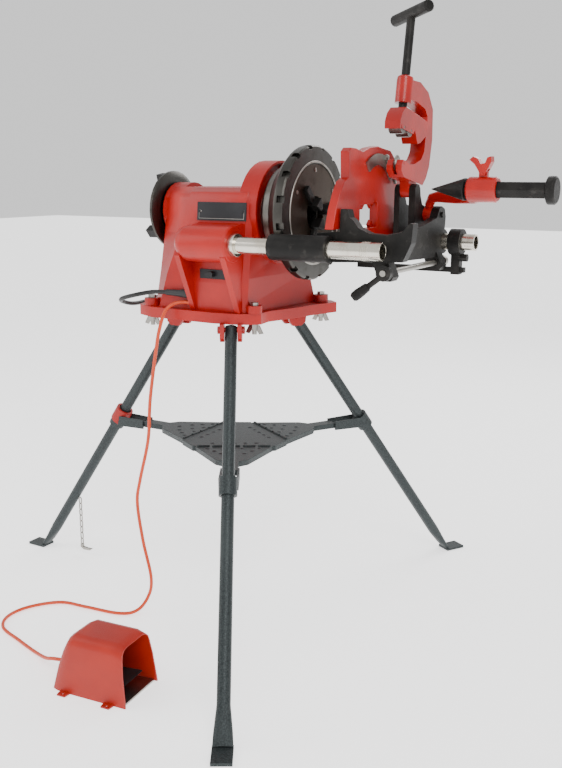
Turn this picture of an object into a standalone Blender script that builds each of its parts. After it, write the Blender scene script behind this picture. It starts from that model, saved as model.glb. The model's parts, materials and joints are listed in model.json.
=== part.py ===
"""Pipe threading machine: a power drive on a folding tripod, with carriage, cutter, die head,
reamer and foot switch.

Metres, +Z up. +X runs along the spindle from the rear wheel to the chuck, and -Y is the
operator's side. Pieces are laid out from the floor under the middle of the tripod. At the end
they all move along X, so that the origin lies under the middle of the whole machine.
"""
import bpy
import bmesh
from math import atan2, cos, hypot, pi, radians, sin, tan
from mathutils import Matrix, Vector

# ---------------------------------------------------------------- driving dimensions
GAP = 0.0003                # between pieces that touch
RUN = 0.0008                # running clearance of a turning or sliding fit
WALL = 0.007                # cast housing wall

SPINDLE_Z = 0.888           # height of the spindle axis
RAIL_Y = 0.1527             # each rail's distance from the middle plane
RAIL_Z = 0.830
RAIL_R = 0.0167             # one-inch pipe
RAIL_BORE = 0.0133
RAIL_START = 0.050
FRONT_RAIL_END = 0.423
REAR_RAIL_END = 0.489

PLATE_Z = 0.690             # top of the stand's plate
PLATE_T = 0.022
LEG_ANGLES = {"rear": 180.0, "near": -59.0, "far": 59.0}
LEG_R = 0.0127
LEG_BORE = 0.0101
LEG_FOOT_RADIUS = 0.6092    # leg centreline's distance from the origin at the floor
HINGE_Z = 0.655             # leg hinge height
HINGE_RADIUS = 0.14723      # leg hinge's distance from the origin
LEG_SLOPE = (LEG_FOOT_RADIUS - HINGE_RADIUS) / HINGE_Z
LUG_T = 0.009

TRAY_Z = 0.390              # tray's top
TRAY_LIP = 0.012
TRAY_SHEET = 0.0025
TRAY_INRADIUS = 0.0825      # from the middle to each wing hinge
TRAY_HINGE_HALF = 0.0900    # half a wing hinge's length
TONGUE_GAP = 0.0645         # free travel at the open tray pivot
EAR_LENGTH = 0.074
EAR_INNER = 0.0155

TUBE_R = 0.042              # spindle tube
TUBE_BORE = 0.034
DRUM_R = 0.0945             # chuck body
WHEEL_R = 0.1351            # hammer wheel
WHEEL_FACE = 0.2005
WHEEL_NOTCHES = 16
FACE_R = 0.0982
REAR_WHEEL_R = 0.084

CARRIAGE_LEFT = 0.276
CARRIAGE_RIGHT = 0.422
SLEEVE_R = 0.025
DIE_FACE = 0.320            # die head plate, side away from the chuck
DIE_T = 0.018
DIE_RISE = SPINDLE_Z - 0.888
DIE_PIVOT = (0.128, 0.862 + DIE_RISE)
CUT_X = 0.360               # middle plane of the pipe cutter
CUT_T = 0.032
CUT_LEAN = radians(10.0)
CUT_SWING = radians(90.0)
CUT_OPEN = (0.048, 1.026)   # middle of the cutter's throat when it is raised
REAM_PIVOT = (0.135, 0.885)
REAM_RAISE = radians(22.0)
REAM_HUB_X = 0.5476
PINION_X = 0.418
PINION_Z = 0.790
PINION_R = 0.0113
RACK_TOP = PINION_Z - PINION_R - GAP
RACK_T = 0.0105

SWITCH_CENTRE = (-0.003, -0.461)
SWITCH_SIZE = (0.168, 0.114, 0.115)
SWITCH_YAW = radians(6.0)
SWITCH_WALL = 0.003
FOOT_CORD_R = 0.0037
POWER_CORD_R = 0.0048

CENTRE_X = 0.0154           # middle of the whole machine's length, from the tripod's middle

# ---------------------------------------------------------------- finishes
FINISHES = {
    "red_enamel": ((0.58, 0.035, 0.022), 0.35, 0.0),
    "hammered_grey": ((0.075, 0.085, 0.082), 0.42, 0.3),
    "dark_casting": ((0.035, 0.033, 0.031), 0.5, 0.2),
    "machined_steel": ((0.33, 0.31, 0.28), 0.35, 1.0),
    "bright_nickel": ((0.68, 0.64, 0.56), 0.2, 1.0),
    "blued_face": ((0.10, 0.075, 0.055), 0.4, 0.8),
    "black_plastic": ((0.012, 0.012, 0.013), 0.4, 0.0),
    "orange_shell": ((0.62, 0.09, 0.04), 0.45, 0.0),
    "orange_cord": ((0.68, 0.10, 0.045), 0.5, 0.0),
    "black_cord": ((0.015, 0.015, 0.015), 0.55, 0.0),
    "plate_black": ((0.012, 0.012, 0.014), 0.3, 0.0),
    "copper_winding": ((0.45, 0.18, 0.07), 0.4, 0.8),
}


def clear_scene():
    for thing in list(bpy.data.objects):
        bpy.data.objects.remove(thing, do_unlink=True)


def finish(name):
    """The named finish as a Principled material, made once."""
    material = bpy.data.materials.get(name)
    if material:
        return material
    colour, roughness, metallic = FINISHES[name]
    material = bpy.data.materials.new(name)
    material.use_nodes = True
    shader = material.node_tree.nodes["Principled BSDF"]
    shader.inputs["Base Color"].default_value = (*colour, 1.0)
    shader.inputs["Roughness"].default_value = roughness
    shader.inputs["Metallic"].default_value = metallic
    return material


# ---------------------------------------------------------------- solids
def solid(name, points, faces):
    """One object from points and faces, with its faces turned outwards."""
    mesh = bpy.data.meshes.new(name)
    mesh.from_pydata([tuple(p) for p in points], [], faces)
    shape = bmesh.new()
    shape.from_mesh(mesh)
    bmesh.ops.recalc_face_normals(shape, faces=shape.faces)
    shape.to_mesh(mesh)
    shape.free()
    thing = bpy.data.objects.new(name, mesh)
    bpy.context.scene.collection.objects.link(thing)
    return thing


def loft(name, rings):
    """A closed skin over rings of equal count, capped at both ends."""
    count = len(rings[0])
    points = [p for ring in rings for p in ring]
    faces = [tuple(reversed(range(count)))]
    for level in range(len(rings) - 1):
        for k in range(count):
            here = level * count + k
            side = level * count + (k + 1) % count
            faces.append((here, side, side + count, here + count))
    faces.append(tuple(range((len(rings) - 1) * count, len(rings) * count)))
    return solid(name, points, faces)


def box(name, low, high):
    corners = [(low[0], low[1]), (high[0], low[1]), (high[0], high[1]), (low[0], high[1])]
    return loft(name, [[(x, y, z) for x, y in corners] for z in (low[2], high[2])])


def slab(name, outline, axis, low, high):
    """A flat outline run along one axis. The outline's pair is the two other axes in order."""
    def place(pair, depth):
        spot = list(pair)
        spot.insert("xyz".index(axis), depth)
        return spot
    return loft(name, [[place(pair, depth) for pair in outline] for depth in (low, high)])


def ring(centre, axis, radius, sides, twist=0.0):
    """Points round a circle about an axis."""
    axis = Vector(axis).normalized()
    side = axis.orthogonal().normalized()
    if abs(axis.z) < 0.99:
        side = axis.cross(Vector((0, 0, 1))).normalized()
    other = axis.cross(side)
    turns = [2 * pi * k / sides + twist for k in range(sides)]
    return [Vector(centre) + radius * (cos(t) * side + sin(t) * other) for t in turns]


def turned(name, start, axis, profile, sides=24):
    """A solid of revolution. The profile lists (distance along the axis, radius)."""
    start, axis = Vector(start), Vector(axis).normalized()
    return loft(name, [ring(start + axis * s, axis, r, sides) for s, r in profile])


def rod(name, start, end, radius, sides=16):
    start, end = Vector(start), Vector(end)
    return turned(name, start, end - start, [(0, radius), ((end - start).length, radius)], sides)


def apply_boolean(target, other, operation):
    """Boolean with the exact solver, applied at once. The other piece is used up."""
    step = target.modifiers.new("step", "BOOLEAN")
    step.operation = operation
    step.solver = "EXACT"
    step.object = other
    graph = bpy.context.evaluated_depsgraph_get()
    graph.update()
    mesh = bpy.data.meshes.new_from_object(target.evaluated_get(graph))
    target.modifiers.clear()
    old = target.data
    target.data = mesh
    bpy.data.meshes.remove(old)
    bpy.data.objects.remove(other, do_unlink=True)
    return target


def cut(target, *tools):
    for tool in tools:
        apply_boolean(target, tool, "DIFFERENCE")
    return target


def join(target, *pieces):
    for piece in pieces:
        apply_boolean(target, piece, "UNION")
    return target


def tube(name, start, end, outer, bore, sides=24):
    start, end = Vector(start), Vector(end)
    over = (end - start).normalized() * 0.002
    return cut(rod(name, start, end, outer, sides), rod("bore", start - over, end + over, bore, sides))


def collar(name, start, axis, length, outer, bore, sides=24):
    start = Vector(start)
    return tube(name, start, start + Vector(axis).normalized() * length, outer, bore, sides)


def node(thing, name, finish_name, origin=(0, 0, 0)):
    """Name and finish a piece, and put its origin on its joint's axis."""
    thing.name = name
    thing.data.name = name
    thing.data.materials.clear()
    thing.data.materials.append(finish(finish_name))
    origin = Vector(origin)
    thing.data.transform(Matrix.Translation(-origin))
    thing.location = origin
    thing.data.shade_smooth()
    thing.data.set_sharp_from_angle(angle=radians(35))
    return thing


def turn_about_x(point, centre, angle):
    """A (y, z) point turned about a (y, z) centre, +Y towards +Z."""
    dy, dz = point[0] - centre[0], point[1] - centre[1]
    return (centre[0] + dy * cos(angle) - dz * sin(angle), centre[1] + dy * sin(angle) + dz * cos(angle))


# ---------------------------------------------------------------- stand
def plate_outline():
    near = [(-0.192, -0.050), (-0.168, -0.116), (-0.120, -0.138), (0.040, -0.143), (0.085, -0.135)]
    nose = [(0.112, -0.124), (0.134, -0.104), (0.129, -0.066), (0.138, -0.038), (0.152, 0.008), (0.164,
        0.070)]
    far = [(0.176, 0.104), (0.184, 0.130), (0.160, 0.152), (0.100, 0.160), (-0.110, 0.160), (-0.168, 0.130)]
    return near + nose + far + [(-0.192, 0.050)]


HOLD_DOWNS = {"near_front": (0.1185, -0.1045), "far_front": (0.150, 0.120),
              "near_rear": (-0.137, -0.112), "far_rear": (-0.137, 0.112)}
BOLT_R = 0.005


def leg_frame(angle):
    """Outward and sideways directions of a leg."""
    turn = radians(angle)
    return Vector((cos(turn), sin(turn), 0)), Vector((-sin(turn), cos(turn), 0))


def leg_radius(z):
    return LEG_FOOT_RADIUS - LEG_SLOPE * z


def hinge_point(angle):
    outward, _ = leg_frame(angle)
    return outward * leg_radius(HINGE_Z) + Vector((0, 0, HINGE_Z))


def stand_plate():
    plate = slab("plate", plate_outline(), "z", PLATE_Z - PLATE_T, PLATE_Z)
    for angle in LEG_ANGLES.values():
        outward, sideways = leg_frame(angle)
        hinge = hinge_point(angle)
        for side in (-1, 1):
            inner = side * (LEG_R + RUN)
            outer = side * (LEG_R + RUN + LUG_T)
            face = [(-0.024, 0.0), (0.024, 0.0), (0.020, -0.030), (0.010, -0.038), (-0.012, -0.038),
                (-0.020, -0.028)]
            rings = []
            for across in (inner, outer):
                corner = hinge + sideways * across
                corner.z = PLATE_Z - PLATE_T + 0.002
                rings.append([corner + outward * a + Vector((0, 0, b)) for a, b in face])
            join(plate, loft("lug", rings))
        join(plate, rod("bolt", hinge - sideways * 0.0285, hinge + sideways * 0.0285, BOLT_R, 12))
        for side in (-1, 1):
            near = hinge + sideways * side * (LEG_R + RUN + LUG_T - 0.001)
            join(plate, rod("head", near, near + sideways * side * 0.0065, 0.0085, 6))
    for x, y in HOLD_DOWNS.values():
        cut(plate, rod("bore", (x, y, PLATE_Z - 0.05), (x, y, PLATE_Z + 0.01), BOLT_R + GAP, 12))
    node(plate, "stand_plate", "red_enamel")


def leg(label, angle):
    """A pipe leg, hinged in its lug, flattened and bent into a foot."""
    outward, sideways = leg_frame(angle)
    hinge = hinge_point(angle)
    down = Vector((outward.x * LEG_SLOPE, outward.y * LEG_SLOPE, -1)).normalized()
    lift = sideways.cross(down)
    if lift.z < 0:
        lift = -lift
    foot = outward * LEG_FOOT_RADIUS
    length = (foot - hinge).length
    sides = 16

    def oval(centre, along, wide, thick):
        turns = [2 * pi * (k + 0.5) / sides for k in range(sides)]
        return [centre + sideways * wide * cos(t) + along * thick * sin(t) for t in turns]

    top = hinge - down * 0.006
    rings = [oval(top, lift, LEG_R, LEG_R), oval(hinge + down * (length - 0.075), lift, LEG_R, LEG_R)]
    rings.append(oval(hinge + down * (length - 0.030), lift, 0.0175, 0.0080))
    bend = (lift + Vector((0, 0, 1))).normalized()
    heel = Vector((foot.x, foot.y, 0.0052)) - outward * 0.002
    rings.append(oval(heel, bend, 0.0190, 0.0042))
    up = Vector((0, 0, 1))
    toe = [(-1, 0), (-1, 1), (1, 1), (1, 0)]
    tongue = []
    for reach in (-0.008, 0.044):
        tongue.append([foot + outward * reach + sideways * 0.019 * a + up * 0.006 * b for a, b in toe])
    body = loft("leg", rings)
    join(body, loft("tongue", tongue))
    height = TRAY_Z - TRAY_LIP / 2
    centre = outward * leg_radius(height) + Vector((0, 0, height))
    join(body, rod("clamp", centre - down * 0.018, centre + down * 0.018, LEG_R + 0.0055, sides))
    for side in (-1, 1):
        inner = side * EAR_INNER
        outer = side * (EAR_INNER + 0.004)
        face = [(-0.014, 0.012), (-EAR_LENGTH - LEG_R, 0.010), (-EAR_LENGTH - LEG_R, -0.010), (-0.014,
            -0.012)]
        rings = []
        for across in (inner, outer):
            rings.append([centre + sideways * across + outward * a + Vector((0, 0, b)) for a, b in face])
        join(body, loft("ear", rings))
    bridge = []
    for across in (-0.0180, 0.0180):
        face = [(-0.010, 0.011), (-0.0195, 0.011), (-0.0195, -0.011), (-0.010, -0.011)]
        bridge.append([centre + sideways * across + outward * a + Vector((0, 0, b)) for a, b in face])
    join(body, loft("bridge", bridge))
    cut(body, rod("bore", top - down * 0.002, hinge + down * (length - 0.085), LEG_BORE, sides))
    cut(body, rod("pin", hinge - sideways * 0.03, hinge + sideways * 0.03, BOLT_R + GAP, 12))
    node(body, "leg_" + label, "hammered_grey", hinge)


def tray_outline(angle):
    """The wing's outline in plan: hinge edge, flank, tongue."""
    outward, sideways = leg_frame(angle)
    height = TRAY_Z - TRAY_LIP / 2
    tip = leg_radius(height) - 0.0195 - TONGUE_GAP
    base = TRAY_INRADIUS + GAP / 2
    half = TRAY_HINGE_HALF - 0.005
    tongue = EAR_INNER - 0.0005
    shape = [(base, -half), (tip - 0.072, -0.034), (tip - 0.058, -tongue), (tip, -tongue)]
    shape += [(a, -b) for a, b in reversed(shape)]
    return [outward * a + sideways * b for a, b in shape]


def tray():
    corners = []
    for angle in sorted(LEG_ANGLES.values()):
        outward, sideways = leg_frame(angle)
        for side in (-1, 1):
            corner = outward * (TRAY_INRADIUS - GAP / 2) + sideways * side * TRAY_HINGE_HALF
            corners.append((corner.x, corner.y))
    corners.sort(key=lambda corner: atan2(corner[1], corner[0]))
    centre = slab("centre", corners, "z", TRAY_Z - TRAY_LIP, TRAY_Z)
    scale = 1 - 0.0035 / TRAY_INRADIUS
    inner = [(x * scale, y * scale) for x, y in corners]
    cut(centre, slab("hollow", inner, "z", TRAY_Z - TRAY_LIP - 0.01, TRAY_Z - TRAY_SHEET))
    node(centre, "tray_centre", "hammered_grey")
    for label, angle in LEG_ANGLES.items():
        outward, sideways = leg_frame(angle)
        outline = tray_outline(angle)
        wing = slab("wing", [(p.x, p.y) for p in outline], "z", TRAY_Z - TRAY_LIP, TRAY_Z)
        middle = sum(outline, Vector((0, 0, 0))) / len(outline)
        smaller = []
        for p in outline:
            away = (p - middle).length
            smaller.append(middle + (p - middle) * (1 - 0.0045 / away * 1.3))
        shape = [(p.x, p.y) for p in smaller]
        shape = shape[:2] + shape[-2:]
        cut(wing, slab("hollow", shape, "z", TRAY_Z - TRAY_LIP - 0.01, TRAY_Z - TRAY_SHEET))
        hinge = outward * TRAY_INRADIUS + Vector((0, 0, TRAY_Z - TRAY_LIP))
        node(wing, "tray_wing_" + label, "hammered_grey", hinge)


def hold_downs():
    """Bolts that hold the power drive to the stand, each with its wing nut below."""
    for label, (x, y) in HOLD_DOWNS.items():
        head_z = PLATE_Z + LUG_HEIGHT + GAP
        bolt = rod("bolt", (x, y, PLATE_Z - 0.043), (x, y, head_z + 0.003), BOLT_R, 12)
        join(bolt, rod("head", (x, y, head_z), (x, y, head_z + 0.006), 0.0085, 6))
        top = PLATE_Z - PLATE_T - GAP
        join(bolt, rod("nut", (x, y, top - 0.010), (x, y, top), 0.0088, 8))
        wing = [(-0.021, -0.018), (-0.012, -0.020), (-0.004, -0.009), (0.004, -0.009), (0.012, -0.020)]
        wing += [(0.021, -0.018), (0.012, -0.0015), (-0.012, -0.0015)]
        join(bolt, slab("wings", [(x + a, top + b) for a, b in wing], "y", y - 0.0016, y + 0.0016))
        node(bolt, "hold_down_bolt_" + label, "machined_steel", (x, y, 0))


# ---------------------------------------------------------------- power drive
BASE_Z = PLATE_Z + GAP
LUG_HEIGHT = 0.016
HUMP_R = 0.037
SHROUD_R = 0.105
SHROUD_END = 0.123
REAR_BOSS_X = -0.142
REAR_STEP = 0.0045
REAR_DISC_T = 0.0175
NAME_SLOPE_Y = -0.1075
FLANK_Y, FLANK_Z = -0.113, 0.845


def housing_rings(inset):
    """Level outlines of the housing, from base to crown, drawn in by an inset."""
    levels = [
        (BASE_Z - (0.01 if inset else 0.0), -0.155, 0.106, 0.140, 0.122, -0.110, 0.075),
        (0.760, -0.146, 0.109, 0.125, 0.119, -0.090, 0.068),
        (FLANK_Z, -0.138, 0.112, 0.114, -FLANK_Y, -0.058, 0.060),
        (0.913, -0.132, 0.112, 0.112, -NAME_SLOPE_Y, -0.042, 0.054),
        (0.930, -0.127, 0.111, 0.111, 0.098, -0.038, 0.050),
        (0.939, -0.118, 0.106, 0.106, 0.080, -0.036, 0.042),
    ]
    corner = 0.0096
    rings = []
    for k, (z, rear, front_near, front_far, half, side_left, side_rear) in enumerate(levels):
        crown = inset if k >= 4 else 0.0
        rear, near, far, half = rear + inset, front_near - inset, front_far - inset, half - inset
        side_left, side_rear = side_left + 0.35 * inset, side_rear - 0.50 * inset
        shape = [(side_left, -half), (near - corner, -half), (near, -half + corner), (far, half - corner)]
        shape += [(far - corner, half), (side_left, half), (rear, side_rear), (rear, -side_rear)]
        rings.append([(x, y, z - crown) for x, y in shape])
    return rings


def hump(side):
    """The rail socket that swells out of the housing's flank."""
    profile = [(0.0, 0.010), (0.004, 0.022), (0.014, 0.032), (0.028, HUMP_R), (0.130, HUMP_R), (0.133,
        HUMP_R - 0.003)]
    return turned("hump", (-0.033, side * (RAIL_Y - 0.002), RAIL_Z), (1, 0, 0), profile, 20)


def housing():
    body = loft("housing", housing_rings(0.0))
    for side in (-1, 1):
        join(body, hump(side))
        flank = [(side * 0.100, 0.800), (side * 0.100, 0.872), (side * (RAIL_Y - 0.012),
            RAIL_Z + HUMP_R - 0.002)]
        flank += [(side * (RAIL_Y - 0.012), RAIL_Z - HUMP_R + 0.002)]
        join(body, slab("flank", flank, "x", -0.010, 0.098))
    for left, right in ((-0.024, -0.012), (0.086, 0.099)):
        web = [(-0.110, BASE_Z), (-0.128, BASE_Z), (-0.180, 0.806), (-0.150, 0.840), (-0.110, 0.840)]
        join(body, slab("web", web, "x", left, right))
    panel = [(-0.110, BASE_Z), (-PANEL_Y + 0.008, BASE_Z), (-PANEL_Y, 0.750), (-PANEL_Y, 0.800), (-0.110,
        0.800)]
    join(body, slab("panel", panel, "x", -0.014, 0.088))
    join(body, rod("shroud", (SHROUD_START, 0, SPINDLE_Z), (SHROUD_END, 0, SPINDLE_Z), SHROUD_R, 32))
    join(body, rod("boss", (REAR_BOSS_X, 0, SPINDLE_Z), (-0.10, 0, SPINDLE_Z), 0.060, 24))
    for x, y in HOLD_DOWNS.values():
        join(body, rod("foot", (x, y, BASE_Z), (x, y, PLATE_Z + LUG_HEIGHT), 0.0165, 12))
    cut(body, loft("hollow", housing_rings(WALL)))
    web = [(0.117, 0.735), (0.1155, 0.760), (0.1095, 0.845), (0.104, 0.905), (0.0955, 0.9215), (0.080,
        0.9345)]
    web += [(-y, z) for y, z in reversed(web)]
    join(body, slab("bulkhead", web, "x", 0.000, 0.008))
    plate = [(0.0935, 0.742), (0.0935, 0.918), (0.078, 0.9347), (-0.078, 0.9347), (-0.0935, 0.918),
        (-0.0935, 0.742)]
    join(body, slab("front_wall", plate, "x", SEAT_X - 0.0002, 0.1083))
    cut(body, rod("recess", (RECESS_X, 0, SPINDLE_Z), (SHROUD_END + 0.01, 0, SPINDLE_Z), SHROUD_R - 0.005,
        32))
    gear_space = (GEAR_X - 0.0007, GEAR_X + GEAR_T + 0.0007)
    cut(body, rod("gear_space", (gear_space[0], 0, SPINDLE_Z), (gear_space[1], 0, SPINDLE_Z),
        GEAR_PITCH_R + 0.0045, 32))
    cut(body, rod("seat", (SEAT_X - 0.001, 0, SPINDLE_Z), (0.2, 0, SPINDLE_Z), BEARING_R + GAP, 24))
    cut(body, rod("seat", (-0.2, 0, SPINDLE_Z), (REAR_BOSS_X + 0.001 + BEARING_T, 0, SPINDLE_Z),
        BEARING_R + GAP, 24))
    cut(body, rod("passage", (-0.2, 0, SPINDLE_Z), (0.2, 0, SPINDLE_Z), TUBE_R + 0.0015, 24))
    cut(body, rod("shaft", (-0.02, 0, MOTOR_Z), (0.03, 0, MOTOR_Z), 0.0070, 12))
    for side in (-1, 1):
        socket = rod("socket", (RAIL_START - 0.001, side * RAIL_Y, RAIL_Z), (0.2, side * RAIL_Y, RAIL_Z),
            RAIL_R + GAP, 20)
        cut(body, socket)
    for x, y in HOLD_DOWNS.values():
        cut(body, rod("hole", (x, y, BASE_Z - 0.01), (x, y, PLATE_Z + 0.03), BOLT_R + GAP, 12))
    lever_x = (SWITCH_LOW + SWITCH_HIGH) / 2
    cut(body, rod("switch_hole", (lever_x, -PANEL_Y - 0.01, SWITCH_Z), (lever_x, -0.100, SWITCH_Z),
        0.0052, 12))
    node(body, "drive_housing", "red_enamel")


BEARING_R = 0.055
BEARING_T = 0.012
SHROUD_START = 0.080
SEAT_X = 0.0958
RECESS_X = 0.1035
GEAR_X = 0.0865
GEAR_T = 0.008
GEAR_TEETH = 36
GEAR_PITCH_R = 0.072
PINION_TEETH = 12
MOTOR_PINION_R = GEAR_PITCH_R * PINION_TEETH / GEAR_TEETH
MOTOR_Z = SPINDLE_Z - GEAR_PITCH_R - MOTOR_PINION_R
MOTOR_R = 0.043
PANEL_Y = 0.132
SWITCH_LOW, SWITCH_HIGH = 0.006, 0.069
SWITCH_Z = 0.7675
WEB_FACE = -0.024
GLAND_Y, GLAND_Z = -0.1305, 0.7230
GLAND_LENGTH = 0.040


def gear(name, centre, pitch_r, teeth, length, twist):
    """A spur gear with straight-sided teeth."""
    addendum = 0.0032
    step = 2 * pi / teeth
    points = []
    for k in range(teeth):
        for share, reach in ((-0.30, -addendum - 0.0008), (-0.13, addendum), (0.13, addendum), (0.30,
            -addendum - 0.0008)):
            turn = (k + share) * step + twist
            r = pitch_r + reach
            points.append((centre[1] + r * sin(turn), centre[2] + r * cos(turn)))
    return slab(name, points, "x", centre[0], centre[0] + length)


def spindle():
    """The hollow spindle with its chuck body, face and drive gear."""
    axis = (1, 0, 0)
    start = (REAR_BOSS_X - REAR_STEP - REAR_DISC_T, 0, SPINDLE_Z)
    tube_piece = tube("spindle", start, (0.1860 - GAP, 0, SPINDLE_Z), TUBE_R, TUBE_BORE, 24)
    node(tube_piece, "spindle_tube", "machined_steel", (0, 0, SPINDLE_Z))
    for label, x in (("rear", REAR_BOSS_X + 0.001), ("front", SEAT_X)):
        bearing = collar("bearing", (x, 0, SPINDLE_Z), axis, BEARING_T, BEARING_R, TUBE_R + RUN, 24)
        node(bearing, "spindle_bearing_" + label, "machined_steel")
    wheel = gear("gear", (GEAR_X, 0, SPINDLE_Z), GEAR_PITCH_R, GEAR_TEETH, GEAR_T, 0.0)
    cut(wheel, rod("bore", (-0.1, 0, SPINDLE_Z), (0.1, 0, SPINDLE_Z), TUBE_R + GAP, 24))
    node(wheel, "drive_gear", "machined_steel", (0, 0, SPINDLE_Z))
    profile = [(SEAT_X + BEARING_T + 0.0006, 0.060), (0.126, 0.060), (0.1275, DRUM_R - 0.004), (0.132,
        DRUM_R), (0.1465, DRUM_R)]
    profile += [(0.1495, DRUM_R - 0.003), (0.1500, FACE_R), (0.1860, FACE_R)]
    drum = turned("drum", (0, 0, SPINDLE_Z), axis, profile, 32)
    cut(drum, rod("bore", (0.09, 0, SPINDLE_Z), (0.2, 0, SPINDLE_Z), TUBE_R + GAP, 24))
    node(drum, "chuck_body", "machined_steel", (0, 0, SPINDLE_Z))
    face = collar("face", (0.1860 + GAP, 0, SPINDLE_Z), axis, 0.0137, FACE_R, TUBE_BORE, 32)
    node(face, "chuck_face", "blued_face", (0, 0, SPINDLE_Z))


def motor():
    body = turned("motor", (-0.118, 0, MOTOR_Z), (1, 0, 0), [(0, 0.030), (0.006, MOTOR_R), (0.110,
        MOTOR_R), (0.1177, 0.036)], 20)
    join(body, box("foot", (-0.100, -0.030, BASE_Z + GAP), (-0.020, 0.030, MOTOR_Z - 0.030)))
    cut(body, rod("bore", (-0.03, 0, MOTOR_Z), (0.01, 0, MOTOR_Z), 0.0058, 12))
    node(body, "motor", "black_plastic")
    pinion = gear("pinion", (GEAR_X, 0, MOTOR_Z), MOTOR_PINION_R, PINION_TEETH, GEAR_T, pi / PINION_TEETH)
    join(pinion, rod("shaft", (-0.029, 0, MOTOR_Z), (GEAR_X + 0.002, 0, MOTOR_Z), 0.0055, 12))
    node(pinion, "motor_pinion", "machined_steel", (0, 0, MOTOR_Z))


def hammer_wheel():
    """The bowl-backed hand wheel that works the chuck jaws."""
    profile = [(0.1508, FACE_R + RUN), (0.1508, 0.1040), (0.158, 0.113), (0.168, 0.123), (0.176, 0.130),
        (0.180, 0.1345)]
    profile += [(0.184, WHEEL_R), (0.197, WHEEL_R), (WHEEL_FACE, 0.132), (WHEEL_FACE, FACE_R + RUN)]
    wheel = turned("wheel", (0, 0, SPINDLE_Z), (1, 0, 0), profile[1:-1], 48)
    cut(wheel, rod("bore", (0.14, 0, SPINDLE_Z), (0.22, 0, SPINDLE_Z), FACE_R + RUN, 32))
    for k in range(WHEEL_NOTCHES):
        turn = 2 * pi * (k + 0.4) / WHEEL_NOTCHES
        out = Vector((0, cos(turn), sin(turn)))
        side = Vector((0, -sin(turn), cos(turn)))
        middle = Vector((0, 0, SPINDLE_Z)) + out * WHEEL_R
        rings = []
        for x in (0.187, WHEEL_FACE + 0.01):
            rings.append([middle + Vector((x, 0, 0)) + out * a + side * b for a, b in
                          ((-0.0075, -0.0062), (0.01, -0.0075), (0.01, 0.0075), (-0.0075, 0.0062))])
        cut(wheel, loft("notch", rings))
    node(wheel, "hammer_wheel", "machined_steel", (0, 0, SPINDLE_Z))


JAW_ANGLES = (131.0, 251.0, 11.0)
JAW_REACH = 0.011
REAR_JAW_ANGLES = (100.0, 220.0, 340.0)


def radial_block(name, angle, lows, highs, taper):
    """A block on a radius of the spindle, its inner end narrowed by a taper."""
    turn = radians(angle)
    out = Vector((0, cos(turn), sin(turn)))
    side = Vector((0, -sin(turn), cos(turn)))
    middle = Vector((0, 0, SPINDLE_Z))
    rings = []
    for x in (lows[0], highs[0]):
        shape = ((lows[1], -lows[2] * taper), (highs[1], -highs[2]), (highs[1], highs[2]), (lows[1],
            lows[2] * taper))
        rings.append([middle + Vector((x, 0, 0)) + out * a + side * b for a, b in shape])
    return loft(name, rings)


def jaws():
    for k, angle in enumerate(JAW_ANGLES):
        base = WHEEL_FACE + GAP
        jaw = radial_block("jaw", angle, (base - 0.0001, 0.020, 0.007), (base + 0.008, 0.068, 0.007), 1.0)
        join(jaw, radial_block("tip", angle, (base - 0.0001, JAW_REACH, 0.012), (base + 0.020, 0.032,
            0.012), 0.35))
        node(jaw, "chuck_jaw_%d" % (k + 1), "dark_casting", (0, 0, SPINDLE_Z))


def rear_chuck():
    start = REAR_BOSS_X - REAR_STEP
    profile = [(0.0, 0.064), (0.004, REAR_WHEEL_R - 0.006), (0.008, REAR_WHEEL_R), (REAR_DISC_T - 0.004,
        REAR_WHEEL_R)]
    profile.append((REAR_DISC_T, REAR_WHEEL_R - 0.006))
    disc = turned("disc", (start, 0, SPINDLE_Z), (-1, 0, 0), profile, 32)
    cut(disc, rod("bore", (-0.2, 0, SPINDLE_Z), (-0.1, 0, SPINDLE_Z), TUBE_R + RUN, 24))
    node(disc, "rear_wheel", "machined_steel", (0, 0, SPINDLE_Z))
    back = start - REAR_DISC_T - GAP
    for k, angle in enumerate(REAR_JAW_ANGLES):
        jaw = radial_block("jaw", angle, (back - 0.022, 0.060, 0.009), (back, 0.079, 0.011), 1.0)
        node(jaw, "rear_jaw_%d" % (k + 1), "dark_casting", (0, 0, SPINDLE_Z))


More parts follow.
